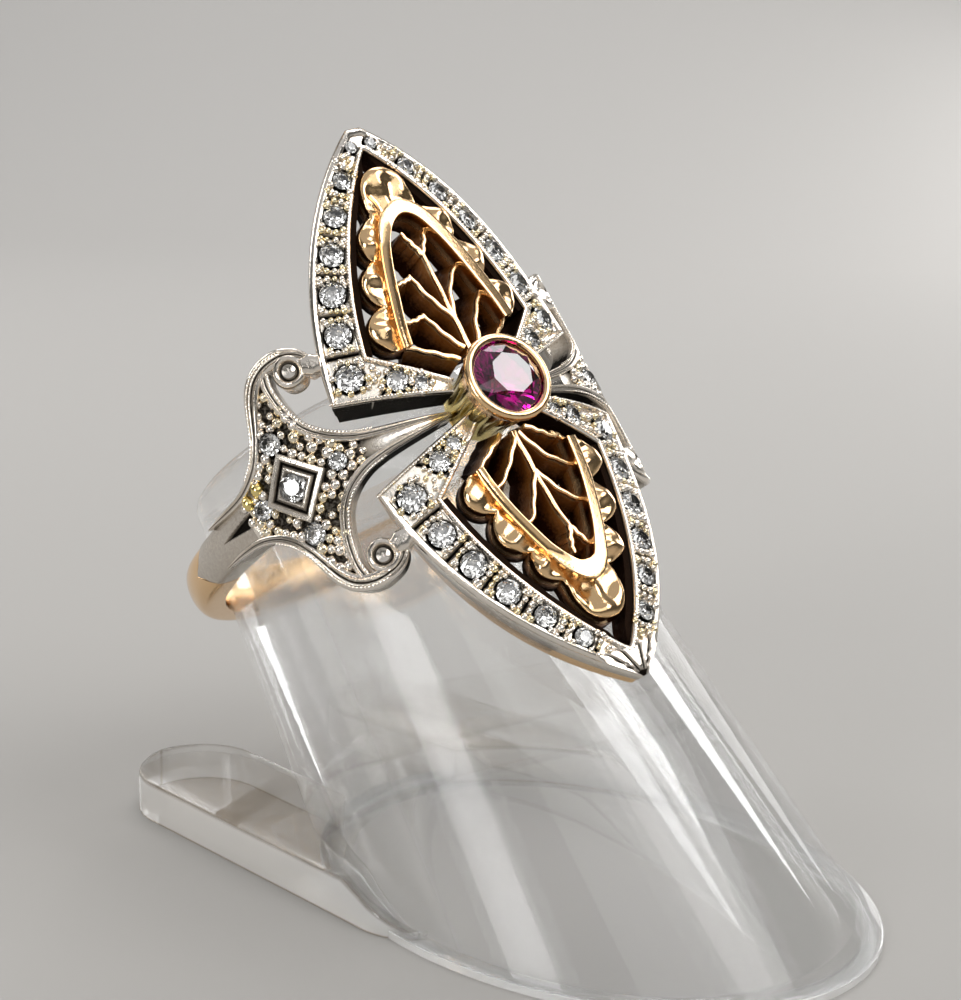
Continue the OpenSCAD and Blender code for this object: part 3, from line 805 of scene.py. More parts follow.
def set_stones(name, places, lift, stone, flip=1, tip=0.05):
    """Stones at (s, z, r) rows; each stays flat while its place is bent round the ring.

    Each is spun by a random angle and tipped by a random slope, of about the size tip.
    """
    x, y, h = cut_stone(places[:, 2])
    turn = rng.uniform(0, 0.7, len(places))[:, None, None]
    x, y = x * np.cos(turn) - y * np.sin(turn), x * np.sin(turn) + y * np.cos(turn)
    slope = rng.normal(0, tip, (2, len(places), 1, 1))
    h = h + slope[0] * x + slope[1] * y
    a = (places[:, 0] / HEAD_R)[:, None, None]
    r = HEAD_R + np.broadcast_to(lift, len(places))[:, None, None] + h
    points = np.stack([r * np.cos(a) - x * np.sin(a), r * np.sin(a) + x * np.cos(a),
                       flip * places[:, 1, None, None] + y], -1)
    return surface(name, place(points, RING), stone, sharp=0)


# %% Diamonds of the head
diamond = gem("diamond", 2.2, (0.97, 0.96, 0.935))
for fan, flip in FANS:
    piece = set_stones(f"diamonds_{fan}", STONES[fan], -0.05, diamond, flip)
    named = [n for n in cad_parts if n.startswith(f"diamond_{fan}")]
    if flip == 1:
        named += ["diamond_tip_left", "diamond_tip_right"]
    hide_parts(*named)

# %% [markdown]
# ## Leaf tracery
#
# A gold leaf fills each window. An arched band stands highest. Outside it the metal falls
# away in scalloped lobes, and inside it thin ribs stand on edge like the veins of a leaf.
# Their sides go deep and are dark with oxide and painted shade, so only the tops shine.

# %% The leaves' plans
# for each leaf: the arched band's middle line and half width, where lobes meet, how far each of
# the seven reaches, and the middle lines of the veins
BANDS = {"upper": [[2.85, 3.25], [2.68, 4.2], [2.43, 5.2], [1.93, 6.95], [1.42, 8.25], [0.85, 9.15],
                   [0, 9.58]],
         "lower": [[2.6, 3.1], [2.48, 4.0], [2.22, 5.2], [1.7, 6.75], [1.2, 7.9], [0.66, 8.75],
                   [0, 9.08]]}
BAND_HALF = {"upper": [0.3, 0.33, 0.34, 0.34, 0.38], "lower": [0.26, 0.3, 0.3, 0.36, 0.5]}
NOTCHES = {"upper": [5.3, 7.4, 9.1], "lower": [5.0, 7.1, 8.6]}
REACHES = {"upper": [1.75, 1.6, 1.5, 2.4, 1.25, 1.4, 1.55],
           "lower": [1.85, 1.75, 1.65, 2.4, 1.3, 1.45, 1.45]}
VEINS = {
    "upper": [[[0.1, 2.2], [0.12, 3.9], [0.16, 5.4], [0.22, 6.4], [0.2, 7.3]],
              [[0.2, 7.2], [0, 7.7], [-0.35, 8.45]],
              [[0.2, 7.2], [0.6, 7.75], [1.05, 8.5]],
              [[0.1, 3.9], [-0.3, 4.6], [-0.65, 5.3], [-1, 6.35]],
              [[-0.97, 6.3], [-1.3, 6.2], [-1.75, 6.15]],
              [[-0.2, 2.4], [-0.75, 3.2], [-1.35, 4.45]],
              [[-1.32, 4.4], [-1.8, 4.3], [-2.3, 4.35]],
              [[0.15, 3.9], [0.55, 5], [1.1, 5.8], [1.9, 6.5]],
              [[0.7, 2.4], [1.1, 3.4], [1.6, 4.1], [2.35, 4.95]],
              [[-0.7, 1.95], [-1.5, 2.45], [-2.85, 3.3]],
              [[0.9, 1.95], [1.9, 2.55], [2.85, 3.3]]],
    "lower": [[[0, 2.0], [0.02, 3.6], [0.05, 5], [0.15, 6], [0.3, 7]],
              [[0.3, 6.9], [0, 7.5], [-0.2, 8.1]],
              [[0.3, 6.9], [0.6, 7.5], [0.95, 8.1]],
              [[-0.1, 2.3], [-0.7, 3], [-1.5, 3.8], [-2.2, 4.2]],
              [[0, 4.1], [-0.5, 4.8], [-1.2, 5.9], [-1.7, 6.15]],
              [[0.2, 2.1], [0.9, 3.3], [1.5, 3.85], [2.25, 4.3]],
              [[0.05, 4], [0.6, 4.95], [1.15, 5.6], [1.8, 6]],
              [[0.7, 1.9], [1.3, 2.3], [2.1, 2.85]],
              [[-0.7, 1.95], [-1.5, 2.45], [-2.6, 3.15]],
              [[1.9, 2.6], [2.3, 2.8], [2.6, 3.15]]]}


def band_path(fan, count=420):
    """The band's middle line from the right foot over the top to the left one."""
    half = np.array(BANDS[fan])
    return spline(np.concatenate([half, half[-2::-1] * [-1, 1]]), count)


# %% Arched bands
def plan_bar(name, path, half, top, bottom, round_r, stuff, flip=1, **kind):
    """A bar carried along a path of the plan and bent round the finger; its walls are dark with painted
    shade and oxide, more the deeper they go.
    """
    rows = bar_rows(path, half, top, bottom, round_r, **kind)
    depth = np.max(top) - np.max(kind.get("tilt", 0)) - rows[..., 2]
    # painted shade with oxide: darker the deeper below the top
    dark = np.interp(depth, [0.12, 0.2, 0.7, 1.3], [0, 0.4, 0.65, 1])
    return surface(name, bent(rows, flip), stuff, dark=dark)


for fan, flip in FANS:
    path = band_path(fan)
    share = np.linspace(-1, 1, len(path))
    half = np.interp(np.abs(share), [0, 0.1, 0.35, 0.7, 1], BAND_HALF[fan][::-1])
    left = np.clip((share - 0.12) / 0.2, 0, 1)
    band = plan_bar(f"leaf_band_{fan}", path, half * (1 - 0.32 * left), 0.3 + 0.05 * bell(share, 0.15),
                    -1.3, 0.05, yellow_gold, flip, tilt=0.25 * left, groove=0.1 * left)
    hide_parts(f"leaf_{fan}")

# %% [markdown]
# ## Scalloped lobes
#
# The lobes were hammered from one sheet with a round punch. So they are one surface here
# too: a strip along the outside of the band, whose width swells and shrinks.


# %% A lobe's section
TOP_LOBE = 3.5        # the count t at the middle of the top lobe
LOBE_Q = np.array([0, 0.08, 0.16, 0.26, 0.36, 0.46, 0.56, 0.66, 0.75, 0.83, 0.9, 0.95, 0.98, 1.0, 0])
# heights across: the lobes at the sides bulge, and the one at the top is dished
BULGE = np.array([-0.12, -0.12, -0.05, 0.05, 0.12, 0.16, 0.18, 0.19, 0.18, 0.14, 0.06, -0.08, -0.36,
                  -1.25, -1.25])
DISHED = np.array([-0.2, -0.22, -0.22, -0.2, -0.17, -0.12, -0.05, 0.05, 0.14, 0.17, 0.13, 0.02, -0.3,
                   -1.25, -1.25])


# %% Scalloped lobes
def lobe_count(path, fan):
    """t at each row of the band: it grows by 1 along each lobe, 3 to a side and 1 at the top."""
    length = np.concatenate([[0], np.cumsum(np.linalg.norm(np.diff(path, axis=0), axis=1))])
    half = len(path) // 2
    first = [np.interp(z, path[:half, 1], length[:half]) for z in NOTCHES[fan]]
    ends = [0] + first + [length[-1] - v for v in first[::-1]] + [length[-1]]
    return np.interp(length, ends, np.arange(8))


def lobe_width(t, fan):
    """w = b + (a - b) f, with f = |sin pi t|^e, and f itself."""
    wave = np.abs(np.sin(math.pi * t)) ** np.where(np.abs(t - TOP_LOBE) < 0.5, 0.5, 0.6)
    most = np.array(REACHES[fan])[np.minimum(t.astype(int), 6)]
    least = np.interp(np.abs(t - TOP_LOBE), [0.3, 0.5, 0.8], [0.9, 0.8, 0.6])
    return least + (most - least) * wave, wave


def fitted(plan, t, crest, fan):
    """Narrows the top lobe to a rounded point, 1.4 sqrt(1 - u^2.2), and keeps in the window."""
    foot, crown = crest + 0.45, crest + REACHES[fan][3] + 0.02
    edge = plan[:, -2]
    narrow = 1.4 * np.sqrt(np.clip(1 - (np.maximum(edge[:, 1] - foot, 0) / (crown - foot)) ** 2.2, 0, 1))
    k = np.minimum(narrow / np.maximum(np.abs(edge[:, 0]), 0.01), 1)[:, None]
    plan[..., 0] *= 1 - (1 - k) * LOBE_Q * (np.abs(t - TOP_LOBE) < 0.5)[:, None]
    room = arc_half(plan[..., 1], *INNER) - 0.16
    plan[..., 0] = np.clip(plan[..., 0], -room, room)
    return plan


def chasing(plan, t, apex):
    """Marks of the punch: petals on the top lobe, a ripple on the others and faint dents."""
    petals = 0.14 * bell(t - 3.52, 0.05) - 0.12 * bell(t - 3.68, 0.06) + 0.08 * bell(t - 3.25, 0.1)
    ripple = 0.07 * np.sin(3 * math.pi * t + 1.5) * (1 - apex[:, 0])
    dents = 0.07 * np.sin(4.1 * plan[..., 0] + 2 * plan[..., 1]) * np.sin(
        5.3 * plan[..., 1] - plan[..., 0])
    return ((ripple + petals)[:, None] + dents) * np.sin(math.pi * LOBE_Q)


def lobes(fan):
    """P(i, q) = c(i) + w(i) q n(i), h(i, q): one sheet round the outside of the band.

    The height bulges beside the band, falls off to the edge and sinks where two lobes meet.
    """
    path = band_path(fan)
    n = normals(path)
    n *= np.sign((n * (path - [0, 6])).sum(1))[:, None]
    t = lobe_count(path, fan)
    width, wave = lobe_width(t, fan)
    apex = bell(t - TOP_LOBE, 0.42)[:, None]
    bulge = BULGE + apex * (DISHED - BULGE)
    plan = path[:, None] + (width[:, None] * LOBE_Q)[..., None] * n[:, None]
    plan = fitted(plan, t, path[len(path) // 2, 1], fan)
    height = bulge + (chasing(plan, t, apex) - 0.3 * (1 - wave[:, None] ** 2)) * (bulge > -0.6)
    # painted shade with oxide: the sheet darkens the lower it falls, and a dark line lies in the groove
    # along the band
    dark = np.maximum(np.interp(-height, [0.25, 0.5, 0.85, 1.2], [0, 0.4, 0.7, 1]), 0.9 * (LOBE_Q < 0.1))
    return closed_ends(np.concatenate([plan, height[..., None], dark[..., None]], -1))


for fan, flip in FANS:
    rows = lobes(fan)
    surface(f"leaf_lobes_{fan}", bent(rows, flip), yellow_gold, sharp=70, dark=rows[..., 3])

# %% [markdown]
# ## Veins
#
# The ribs were sawn out of the same sheet and stand on edge. A slight wave along each path
# keeps them from looking ruled.

# %% Veins
for fan, flip in FANS:
    for k, vein in enumerate(VEINS[fan]):
        path = spline(vein, 40)
        path = path + 0.025 * np.sin(np.arange(40) * 0.45 + k)[:, None] * normals(path)
        plan_bar(f"vein_{fan}_{k}", path, np.linspace(0.13, 0.09, 40), -0.05, -1.7, 0.07, yellow_gold,
                 flip, spread=0.4)

# %% [markdown]
# ## Collet and ruby
#
# The ruby's setting is turned like a tiny cup. It narrows downwards, has flutes cut round
# it, and its rim is rubbed over the stone's edge.


# %% Collet
FLUTES = 16


def turned_cup():
    """P(i, j) = c + r(i, j) (cos v, sin v) in the plan and h(i) up: a section turned round.

    The flutes swell the section by 0.13 sqrt |cos(n v / 2)|, most near the head's top.
    """
    profile = spline(np.array([[1.15, -1.95], [1.55, -1.95], [1.58, -1.0], [1.62, -0.2], [1.78, 0.5],
                               [1.95, 1.0], [2.08, 1.2], [2.12, 1.4], [2.06, 1.55], [1.93, 1.61],
                               [1.8, 1.58], [1.71, 1.5], [1.84, 1.38], [1.84, 1.2], [1.5, 0.6],
                               [1.15, -0.4], [1.15, -1.95]]), 90)
    v = np.linspace(0, 2 * math.pi, 145)[:-1]
    r, h = profile[:, :1], profile[:, 1:]
    arch = np.abs(np.cos(FLUTES / 2 * v))
    r = r + 0.13 * np.sqrt(arch) * bell(h - 0.1, 0.75) * (r > 1.3)
    bore = (r < 1.78) * (h > -0.5) * (h < 1.1) * (np.arange(90)[:, None] > 60)
    # painted shade with oxide in the hollows between the flutes, and painted shade inside the bore
    dark = np.clip(0.9 * bell(h + 0.3, 0.9) * (1 - arch) ** 2 + 0.9 * bore, 0, 1)
    top = HEAD_R + h + 0 * v
    points = np.stack([top, r * np.cos(v), r * np.sin(v)], -1)
    return place(points, RING), dark, np.clip((0.75 - h) / 0.3, 0, 1) + 0 * v


points, dark, gold = turned_cup()
collet = surface("ruby_setting", points, collet_gold, wrap_rows=True, dark=dark, gold=gold)
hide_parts("ruby_collet")

# %% [markdown]
# ## The shoulders
#
# Each shoulder spreads from the shank into a plaque with two scrolls, then runs on as a
# long point under the head. Polished rails edge it. Between them lie a stone in a square
# frame, four small stones and a field of grains.

# %% The shoulder's body
# angle from the middle of the head in degrees, and radius of the top and of the underside
SHOULDER_TOP = np.array([[8, 11.4], [25, 11.95], [37, 12.4], [47, 12.0], [60, 11.3], [75, 10.7],
                         [92, 10.3]])
SHOULDER_LOW = np.array([[8, 10.4], [25, 10.75], [37, 11.1], [47, 10.6], [60, 9.8], [75, 9.1],
                         [92, 8.88]])
# place along the curve, half width of the plaque there
BLADE = np.array([[1.9, 0.15], [3, 0.24], [4, 0.32], [5, 0.44], [6, 0.6], [7, 0.9], [8, 1.5],
                  [8.6, 2.15], [9, 2.9], [9.35, 4.0], [9.6, 4.7], [9.9, 4.8], [10.2, 4.5],
                  [10.6, 3.75], [11, 3.05], [11.6, 2.15], [12.5, 1.5], [13.5, 1.18], [15, 1.08],
                  [17, 1.08], [19.2, 1.08], [20.0, 0.86], [20.6, 0.5], [20.85, 0.05]])
SQUARE_S = 10.35      # place of the square frame's middle
# place across and along, and radius, of the small stones
SMALL = np.array([[7.95, 0, 0.42], [12.45, 0, 0.46], [10.45, 2.25, 0.5], [10.45, -2.25, 0.5]])


def shoulder_lift(across, table=SHOULDER_TOP):
    """Height of the shoulder above the head's cylinder at a place across."""
    degrees = np.degrees(np.abs(across) / HEAD_R)
    return np.interp(degrees, table[:, 0], table[:, 1]) - HEAD_R


# %% Plaques
def plaque():
    """P(i, j) = bend(s, q b(s), lift(s) + g(s, q)): a sunk field, a domed tongue, a cut spike."""
    s = np.concatenate([np.linspace(1.9, 8, 60), np.linspace(8, 13.5, 200)[1:],
                        np.linspace(13.5, 20.85, 120)[1:]])[:, None]
    b = np.interp(s, BLADE[:, 0], BLADE[:, 1])
    q = np.linspace(-1, 1, 61)
    z = q * b
    field = np.clip((s - 5.5) / 1.5, 0, 1) * np.clip((13.6 - s) / 1.2, 0, 1)
    spike = np.clip((0.42 * (16.3 - s) / 3.4 - np.abs(z)) / 0.1, 0, 1) * (s > 12.4)
    sunk = np.maximum(field, spike)
    late = np.clip((s - 14) / 4, 0, 1)
    crown = (1 - late) * (0.04 - 0.16 * q**2) + late * (0.02 - 0.6 * (1 - (1 - q**2) ** 0.4))
    height = -0.26 * sunk + (1 - field) * crown
    # oxide with painted shade: the sunk field and the spike's cut are dark, darkest along the rails
    # beside them
    dark_field = (0.74 + 0.26 * np.clip((np.abs(z) - b + 0.55) / 0.2, 0, 1)) * field + spike
    for stone_s, stone_z, r in SMALL:
        away = np.hypot(s - stone_s, z - stone_z)
        height -= 0.3 * np.clip((r + 0.1 - away) / 0.1, 0, 1)
        # a ring of painted shadow round each small stone
        dark_field = np.maximum(dark_field, np.clip((r + 0.13 - away) / 0.06, 0, 1))
    low = shoulder_lift(s, SHOULDER_LOW) - shoulder_lift(s)
    z = np.concatenate([z, b, 0.9 * b, -0.9 * b, -b], 1)
    height = np.concatenate([height, low + 0.1, low, low, low + 0.1], 1)
    dark_field = np.maximum(dark_field, 0.3 * (s > 13.6))
    # painted shade on the walls where they run under the head
    shade_under_head = np.clip((9 - s) / 2, 0, 1)
    dark = np.concatenate([dark_field, np.maximum([0.2, 0.5, 0.5, 0.2], shade_under_head)], 1)
    rows = closed_ends(np.stack([s + 0 * z, z, height + shoulder_lift(s), dark], -1))
    return rows


def both_shoulders(name, rows, stuff, sharp=40, **values):
    """The same rows on the right and, mirrored, on the left."""
    pair = np.stack([rows[..., :3], rows[..., :3] * [-1, 1, 1]])
    return surface(name, bent(pair), stuff, sharp=sharp, **values)


rows = plaque()
both_shoulders("shoulder_plaques", rows, white_metal, dark=rows[..., 3])

# %% Rails and scroll arms
INNER_RAIL = [[2.0, 0.06], [3, 0.17], [4.5, 0.32], [6, 0.52], [7, 0.8], [7.9, 1.3], [8.6, 2.0],
              [9.0, 2.8], [9.22, 3.6], [9.3, 4.4], [9.2, 5.0]]
OUTER_RAIL = [[16.8, 1.0], [15, 1.0], [13.6, 1.1], [12.5, 1.45], [11.7, 2.0], [11.1, 2.8],
              [10.7, 3.6], [10.3, 4.4], [9.8, 5.0], [9.1, 5.35], [8.3, 5.42], [7.6, 5.25],
              [7.15, 4.85], [7.15, 4.35]]
rails = []
for path, widths in ((INNER_RAIL, [0.05, 0.14, 0.21, 0.25, 0.26, 0.26]),
                     (OUTER_RAIL, [0.04, 0.16, 0.2, 0.26, 0.4, 0.38, 0.16])):
    path = spline(path, 220)
    half = np.interp(np.linspace(0, 1, 220), np.linspace(0, 1, len(widths)), widths)
    for flip in (1, -1):
        rows = bar_rows(path * [1, flip], half, 0.12, -1.1, 0.45 * half, groove=0.4 * half)
        rows[..., 2] += shoulder_lift(rows[..., 0])
        rails.append(rows)
rails = np.stack(rails)
# painted shade with oxide: the rail's walls are dark, the groove along its top darkest, and the walls
# under the head as dark
rail_dark = np.array([0.4, 0.4, 0.1, 0, 0, 0, 0.1, 0.9, 0.1, 0, 0, 0, 0.1, 0.4, 0.4])
shade_under_head = np.clip((9 - rails[..., 0]) / 2, 0, 1)
rail_dark = np.maximum(rail_dark, shade_under_head * (rail_dark == 0.4))
both_shoulders("shoulder_rails", rails, white_metal, dark=np.concatenate([rail_dark, rail_dark]))
dots = [along(np.array(INNER_RAIL[3:]) * [1, flip], 0.17, 0.2 * flip) for flip in (1, -1)]
dots += [along(np.array(OUTER_RAIL[3:11]) * [1, flip], 0.17, -0.2 * flip) for flip in (1, -1)]
dots = np.concatenate(dots)
dots = np.concatenate([dots, dots * [-1, 1]])
surface("milgrain_shoulders", beads(dots, 0.08, shoulder_lift(dots[:, 0]) + 0.07, 1, 5, 6), white_metal,
        dark=0)

# %% [markdown]
# ## Scrolls and the square frame
#
# A scroll ends in a drilled cup with a ring round it. The square frame stands on its
# corner. Both come from one function: a section carried round a centre, by a circle or,
# where the radius is divided by |cos v| + |sin v|, by a square.


# %% Buttons
def button(centre, radii, heights, square=False, columns=64):
    """P(i, j) = c + r(i) k(v) (cos v, sin v), raised by h(i); k = 1 or 1 / (|cos v| + |sin v|)."""
    v = np.arange(columns) * 2 * math.pi / columns
    k = 1 / (np.abs(np.cos(v)) + np.abs(np.sin(v))) if square else np.ones(columns)
    r = np.asarray(radii, float)[:, None] * k
    s = centre[0] + r * np.cos(v)
    z = centre[1] + r * np.sin(v)
    h = np.asarray(heights, float)[:, None] + 0 * v
    return closed_ends(np.stack([s, z, h + shoulder_lift(s)], -1))


CUP_R = [0.02, 0.18, 0.31, 0.36, 0.4, 0.45, 0.5, 0.58, 0.68, 0.76, 0.8, 0.8, 0.02]
CUP_H = [-0.08, -0.06, 0.0, -0.2, -0.24, -0.08, 0.07, 0.14, 0.12, 0.02, -0.14, -1.15, -1.15]
cups = np.stack([button((8.05, z), CUP_R, CUP_H) for z in (4.6, -4.6)])
# painted shade with oxide in the cup's ring groove and down its wall
cup_dark = np.array([0] + [0, 0, 0.1, 0.7, 0.7, 0.1, 0, 0, 0, 0, 0, 0.5, 0.5] + [0.5])
both_shoulders("scroll_cups", cups, white_metal, dark=cup_dark[:, None])

FRAME_R = [0.02, 0.6, 0.76, 0.92, 1.0, 1.13, 1.2, 1.27, 1.36, 1.46, 1.68, 1.75, 1.78, 0.02]
FRAME_H = [-0.45, -0.2, -0.02, 0.08, 0.08, -0.02, -0.14, -0.14, 0.04, 0.12, 0.12, 0.06, -0.4, -0.6]
frames = button((SQUARE_S, 0), FRAME_R, FRAME_H, True)
# painted shade with oxide in the middle hollow, in the groove and down the walls
frame_dark = np.array([1] + [1, 1, 0.5, 0.2, 0.2, 0.4, 1, 1, 0.4, 0.2, 0.2, 0.3, 0.7, 0.7] + [0.7])
both_shoulders("square_frames", frames, white_metal, sharp=25, dark=frame_dark[:, None])

# %% [markdown]
# ## Stones and grains of the shoulders
#
# The ground between the rails is raised into grains all over. They are laid in order: rings
# round the stones, rows along the frame and the rails, then random places. Each one that
# comes too near an earlier one is dropped.

# %% Stones of the shoulders
for word, side in SIDES:
    small = SMALL * [side, 1, 1]
    piece = set_stones(f"shoulder_stones_{word}", small, shoulder_lift(small[:, 0]) + 0.02, diamond,
                       tip=0.12)
    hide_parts(f"shoulder_diamonds_{word}")
    middle = np.array([[side * SQUARE_S, 0, 0.64]])
    piece = set_stones(f"middle_stone_{word}", middle, shoulder_lift(middle[:, 0]) + 0.08, diamond)
    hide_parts(f"square_diamond_{word}")

# %% Grains of the shoulders
SHOULDER_TRIES, SHOULDER_GAP = 5200, 0.43
around = np.arange(7) * 2 * math.pi / 7 + 0.3
ring = np.stack([np.cos(around), np.sin(around)], -1)
side_line = np.linspace([SQUARE_S, 2.06], [12.41, 0], 7)[1:-1] - [SQUARE_S, 0]
frame_beads = np.concatenate([side_line * [a, b] + [SQUARE_S, 0] for a in (1, -1) for b in (1, -1)])
edge_s = np.linspace(7.0, 13.4, 90)
edge_line = np.stack([edge_s, np.interp(edge_s, BLADE[:, 0], BLADE[:, 1]) - 0.5], -1)
spots = np.concatenate([ring * (r + 0.2) + [s, z] for s, z, r in SMALL]
                       + [frame_beads, edge_line, edge_line * [1, -1],
                          rng.uniform([6.6, -4.6], [13.6, 4.6], (SHOULDER_TRIES, 2))])
room = np.interp(spots[:, 0], BLADE[:, 0], BLADE[:, 1]) - 0.4
clear = np.abs(spots[:, 1]) < room
for s, z, r in SMALL:
    clear &= np.hypot(spots[:, 0] - s, spots[:, 1] - z) > r + 0.18
clear &= np.abs(spots[:, 0] - SQUARE_S) + np.abs(spots[:, 1]) > 2.0
kept = []
for spot in spots[clear]:
    if all(math.dist(spot, other) > SHOULDER_GAP for other in kept):
        kept.append(spot)
# two large brass-coloured grains stand by the tongue
kept = np.array(kept + [[12.3, 0.95], [13.2, 0.7]])
print(len(kept), "grains on each shoulder")
size = rng.uniform(0.21, 0.33, len(kept))
tint = rng.choice([0, 0, 0.3], len(kept))
size[-2:], tint[-2:] = 0.4, 1
for word, side in SIDES:
    surface(f"shoulder_grains_{word}",
            beads(kept * [side, 1], size, shoulder_lift(kept[:, 0]) - 0.2),
            grain_metal, dark=0.0, gold=tint[:, None, None])

# %% [markdown]
# ## Joining bars
#
# A short thick bar ties each scroll to the fan beside it, and stiffens the long head.

# %% Bars that join the scrolls to the fans
bars = []
for flip in (1, -1):
    rows = bar_rows(spline([[7.42, 4.5 * flip], [7.05, 4.4 * flip], [6.65, 4.3 * flip]], 12),
                    0.42 + 0.1 * bell(np.linspace(-1, 1, 12), 0.5), 0.06, -0.9, 0.34)
    bars.append(rows)
both_shoulders("joining_bars", np.stack(bars), white_metal, dark=0.1)

# %% [markdown]
# ## The band behind the finger
#
# The band is plain gold with a rounded back. Each end is cut to a V that takes the white
# metal's tongue.


# %% Gold band
def band():
    """P(i, j): the section's point (z, r) at angle a = a0(z) + t (360 - 2 a0(z)).

    a0 = 95.3 - 7.3 |z| / w degrees gives the V at each end.
    """
    half = 1.08
    turn = np.linspace(0, math.pi, 15)
    z = np.concatenate([half * np.cos(turn), [-half, -0.8 * half, 0.8 * half, half]])
    r = np.concatenate([FINGER_R + 0.85 + 0.6 * np.sin(turn) ** 0.8,
                        [FINGER_R + 0.1, FINGER_R, FINGER_R, FINGER_R + 0.1]])
    start = np.radians(95.3 - 7.3 * np.abs(z) / half)
    t = np.linspace(0, 1, 160)[:, None]
    a = start + t * (2 * math.pi - 2 * start)
    rows = np.stack([r * np.cos(a), r * np.sin(a), z + 0 * a], -1)
    return place(closed_ends(rows), RING)


shank = surface("gold_band", band(), yellow_gold, dark=0.0)
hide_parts("shank")
# the mount's own solid is shown by the borders, plaques, rails and frames together
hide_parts("mount")

# %% [markdown]
# ## The ruby
#
# The ruby's facets are exact already in the frame, so it keeps that mesh and only gets a
# new material: deep pink glass, whose flat table mirrors the lamp above it.

# %% Ruby
ruby = gem("ruby", 1.76, (0.4, 0.003, 0.18))
tree = ruby.node_tree
shader = tree.nodes["Principled BSDF"]
shader.inputs["Coat IOR"].default_value = 2.2
shader.inputs["Specular IOR Level"].default_value = 0.35
# the table has the last and finest polish: it mirrors more than the facets round it
facing = node(tree, "ShaderNodeVectorMath", [(0, node(tree, "ShaderNodeNewGeometry").outputs["Normal"])],
              operation="DOT_PRODUCT")
facing.inputs[1].default_value = RING[:3, 0]
table = node(tree, "ShaderNodeMapRange", [("Value", facing.outputs["Value"])],
             From_Min=0.95, From_Max=0.98, To_Max=0.7)
tree.links.new(table.outputs[0], shader.inputs["Coat Weight"])
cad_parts["ruby"].material_slots[0].material = ruby

# %% [markdown]
# ## The clear stand
#
# The stand is one moulding of clear acrylic: a leaning tube, cut level at the table, with a
# thin rim round its foot and two flat feet behind it. A tapered tube cut by a plane has a
# simple formula, so the cut needs no Boolean. The feet run out into the rim in a short slope.

# %% Tube
TAPER = 0.102         # growth of the radius for each millimetre towards the table
FOOT_R = 8.64 + TAPER * RING_HEIGHT
WALL = 1.2
TOP = 4.0             # length above the ring's middle


def tube():
    """P(i, j) = TUBE (r cos v, r sin v, s), r = R - k s, from the table to the mouth and back.

    The table z = 0 is met at s0 = -R cos v cos L / (sin L - k cos v cos L).
    """
    v = np.linspace(0, 2 * math.pi, 193)[:-1]
    cos_v = np.cos(v)
    lip = np.linspace(0, math.pi, 9)[:, None]

    def wall_line(inset, t):
        base = FOOT_R - inset
        level = -base * cos_v * math.cos(LEAN) / (math.sin(LEAN) - TAPER * cos_v * math.cos(LEAN))
        s = level + t * (RING_HEIGHT + TOP - WALL / 2 - level)
        return base - TAPER * s, s

    up = np.linspace(0, 1, 30)[:, None]
    outer_r, outer_s = wall_line(0, up)
    inner_r, inner_s = wall_line(WALL, up[::-1])
    lip_r = outer_r[-1] - WALL / 2 + WALL / 2 * np.cos(lip)
    lip_s = outer_s[-1] + WALL / 2 * np.sin(lip)
    r = np.concatenate([outer_r, lip_r[1:-1], inner_r])
    s = np.concatenate([outer_s, lip_s[1:-1], inner_s])
    return place(np.stack([r * cos_v, r * np.sin(v), s], -1), TUBE)


# %% Rim and feet
# the tube meets the table in an oval: its middle, half length and half width
SLANT = math.atan(TAPER)
FOOT_FRONT = FOOT_R * math.cos(SLANT) / math.sin(LEAN - SLANT)
FOOT_BACK = FOOT_R * math.cos(SLANT) / math.sin(LEAN + SLANT)
OVAL = (FOOT_X + (FOOT_FRONT - FOOT_BACK) / 2, (FOOT_FRONT + FOOT_BACK) / 2, FOOT_R)
RIM = 0.3             # how far the rim stands out from the oval
RIM_H = 0.4
PLATE_H = 2.0         # thickness of the feet
PLATE_R = 3.2         # radius of their round ends
PLATE_END = (FOOT_X - 18.4, 6.75)
PLATE_ROOT = (FOOT_X - 3.1, FOOT_R - 2.9)


def foot_rim():
    """P(i, j) = c + ((a + d(j)) cos v, (b + d(j)) sin v, h(j)): a low section round the oval."""
    v = np.linspace(0, 2 * math.pi, 193)[:-1, None]
    d = np.array([RIM, RIM, 0.25, 0.2, -WALL / 2, -WALL / 2])
    h = np.array([0, 0.33, 0.38, RIM_H, RIM_H, 0])
    c, a, b = OVAL
    return np.stack([c + (a + d) * np.cos(v), (b + d) * np.sin(v), h + 0 * v], -1)


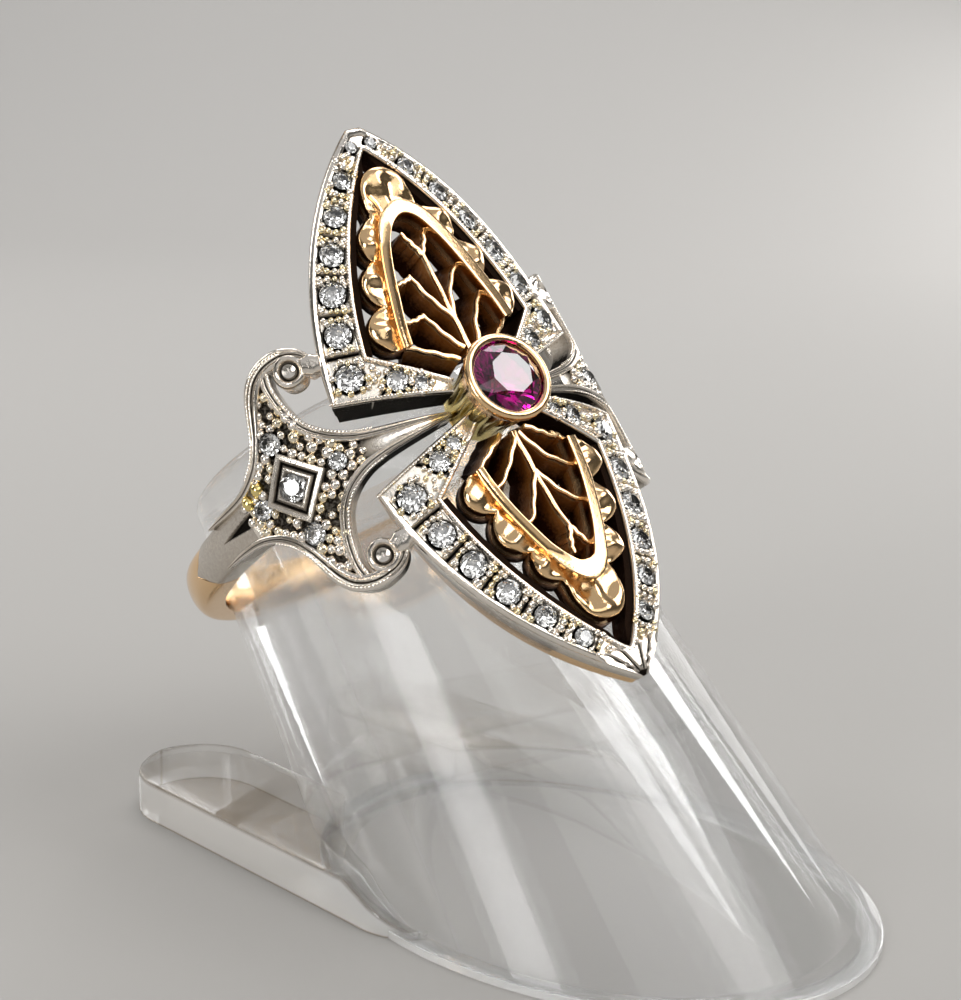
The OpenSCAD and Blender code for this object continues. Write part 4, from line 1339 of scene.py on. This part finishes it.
def foot():
    """P(i, j) = (x, inner(x) + q(j), h(j)): a flat plate from the tube's flank to a round end.

    The plate covers all points within r of the line from its end to its root. Its inner side
    is cut off along the oval b sqrt(1 - ((x - c) / a)2) in the tube's wall. Near the root its
    top slopes down to the rim.
    """
    end, root, r = PLATE_END, PLATE_ROOT, PLATE_R
    turn = np.linspace(0, math.pi / 2, 30)
    x = np.concatenate([end[0] - r * np.cos(turn), np.linspace(end[0], root[0] + 2.6, 110)[1:]])[:, None]
    past = np.minimum(x - end[0], 0) ** 2 + np.maximum(x - root[0], 0) ** 2
    half = np.sqrt(np.maximum(r * r - past, 0))
    middle = np.interp(x, [end[0], root[0]], [end[1], root[1]])
    c, a, b = OVAL
    oval = (b - WALL / 2) * np.sqrt(1 - ((x - c) / (a - 0.7)) ** 2, where=np.abs(x - c) < a - 0.7,
                               out=np.zeros_like(x))
    inner = np.minimum(np.maximum(middle - half, oval), middle + half)
    width = middle + half - inner
    tall = np.interp(x, [root[0] - 1.6, root[0] + 2.0], [PLATE_H, RIM_H + 0.05])
    edge = np.minimum(0.25, width / 2)
    q = np.concatenate([0 * x, 0 * x, 0 * x, 0.3 * edge, edge], 1)
    q = np.concatenate([q, width - q[:, ::-1]], 1)
    h = np.concatenate([0 * x, 0 * x + 0.12, tall - edge, tall - 0.3 * edge, tall], 1)
    h = np.concatenate([h, h[:, ::-1]], 1)
    rows = closed_ends(np.stack([x + 0 * q, inner + q, h], -1))
    return np.stack([rows, rows * [1, -1, 1]])


# %% [markdown]
# ## Clear acrylic
#
# Acrylic bends light by 1.49. Glass that is bent twice by every wall would show a dark
# double image, which a thin moulding hardly has. So part of the light passes straight
# through, by the alpha value, and the shader bends only the rest.

# %% Clear acrylic
acrylic, tree, shader = material("acrylic")
for key, value in (("IOR", 1.49), ("Specular IOR Level", 0.8)):
    shader.inputs[key].default_value = value
# a cut edge is painted pale, as painted light that it gathers inside; along its corners runs a painted
# dark line, a painted contact shadow at the bottom and a dark edge at the top
edge, line = (node(tree, "ShaderNodeAttribute", attribute_name=key).outputs["Fac"]
              for key in ("cut", "corner"))
colour = mixed(tree, line, mixed(tree, edge, (0.97, 0.98, 0.98), (0.9, 0.89, 0.87)), (0.3, 0.24, 0.17))
tree.links.new(colour, shader.inputs["Base Color"])
clear = node(tree, "ShaderNodeMapRange", [("Value", edge)], To_Min=0.93, To_Max=0.35)
tree.links.new(clear.outputs[0], shader.inputs["Transmission Weight"])
cover = node(tree, "ShaderNodeMapRange", [("Value", edge)], To_Min=0.38, To_Max=0.72)
solid = node(tree, "ShaderNodeMath", [(0, line), (2, cover.outputs[0])], operation="MULTIPLY_ADD")
solid.inputs[1].default_value = 0.3
tree.links.new(solid.outputs[0], shader.inputs["Alpha"])
relief = node(tree, "ShaderNodeBump", [("Height", noise(tree, 9, 2))], Strength=0.02, Distance=0.0003)
tree.links.new(relief.outputs[0], shader.inputs["Normal"])
haze = node(tree, "ShaderNodeMapRange", [("Value", noise(tree, 1.5, 4))], To_Min=0.01, To_Max=0.08)
tree.links.new(haze.outputs[0], shader.inputs["Roughness"])

# %% The stand's pieces
tube_piece = surface("stand_tube", tube(), acrylic, wrap_rows=True)
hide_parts("ring_stand")
# pale cut edges: painted light; dark lines along the feet's corners: painted shade
surface("stand_rim", foot_rim(), acrylic, wrap_rows=True, cut=np.array([1, 1, 0.5, 0, 0, 0]), corner=0)
surface("stand_feet", foot(), acrylic, cut=np.array([1, 1, 1, 0.5, 0, 0, 0.5, 1, 1, 1]),
        corner=np.array([1, 0, 0, 0.8, 0, 0, 0.8, 0, 0, 1]))
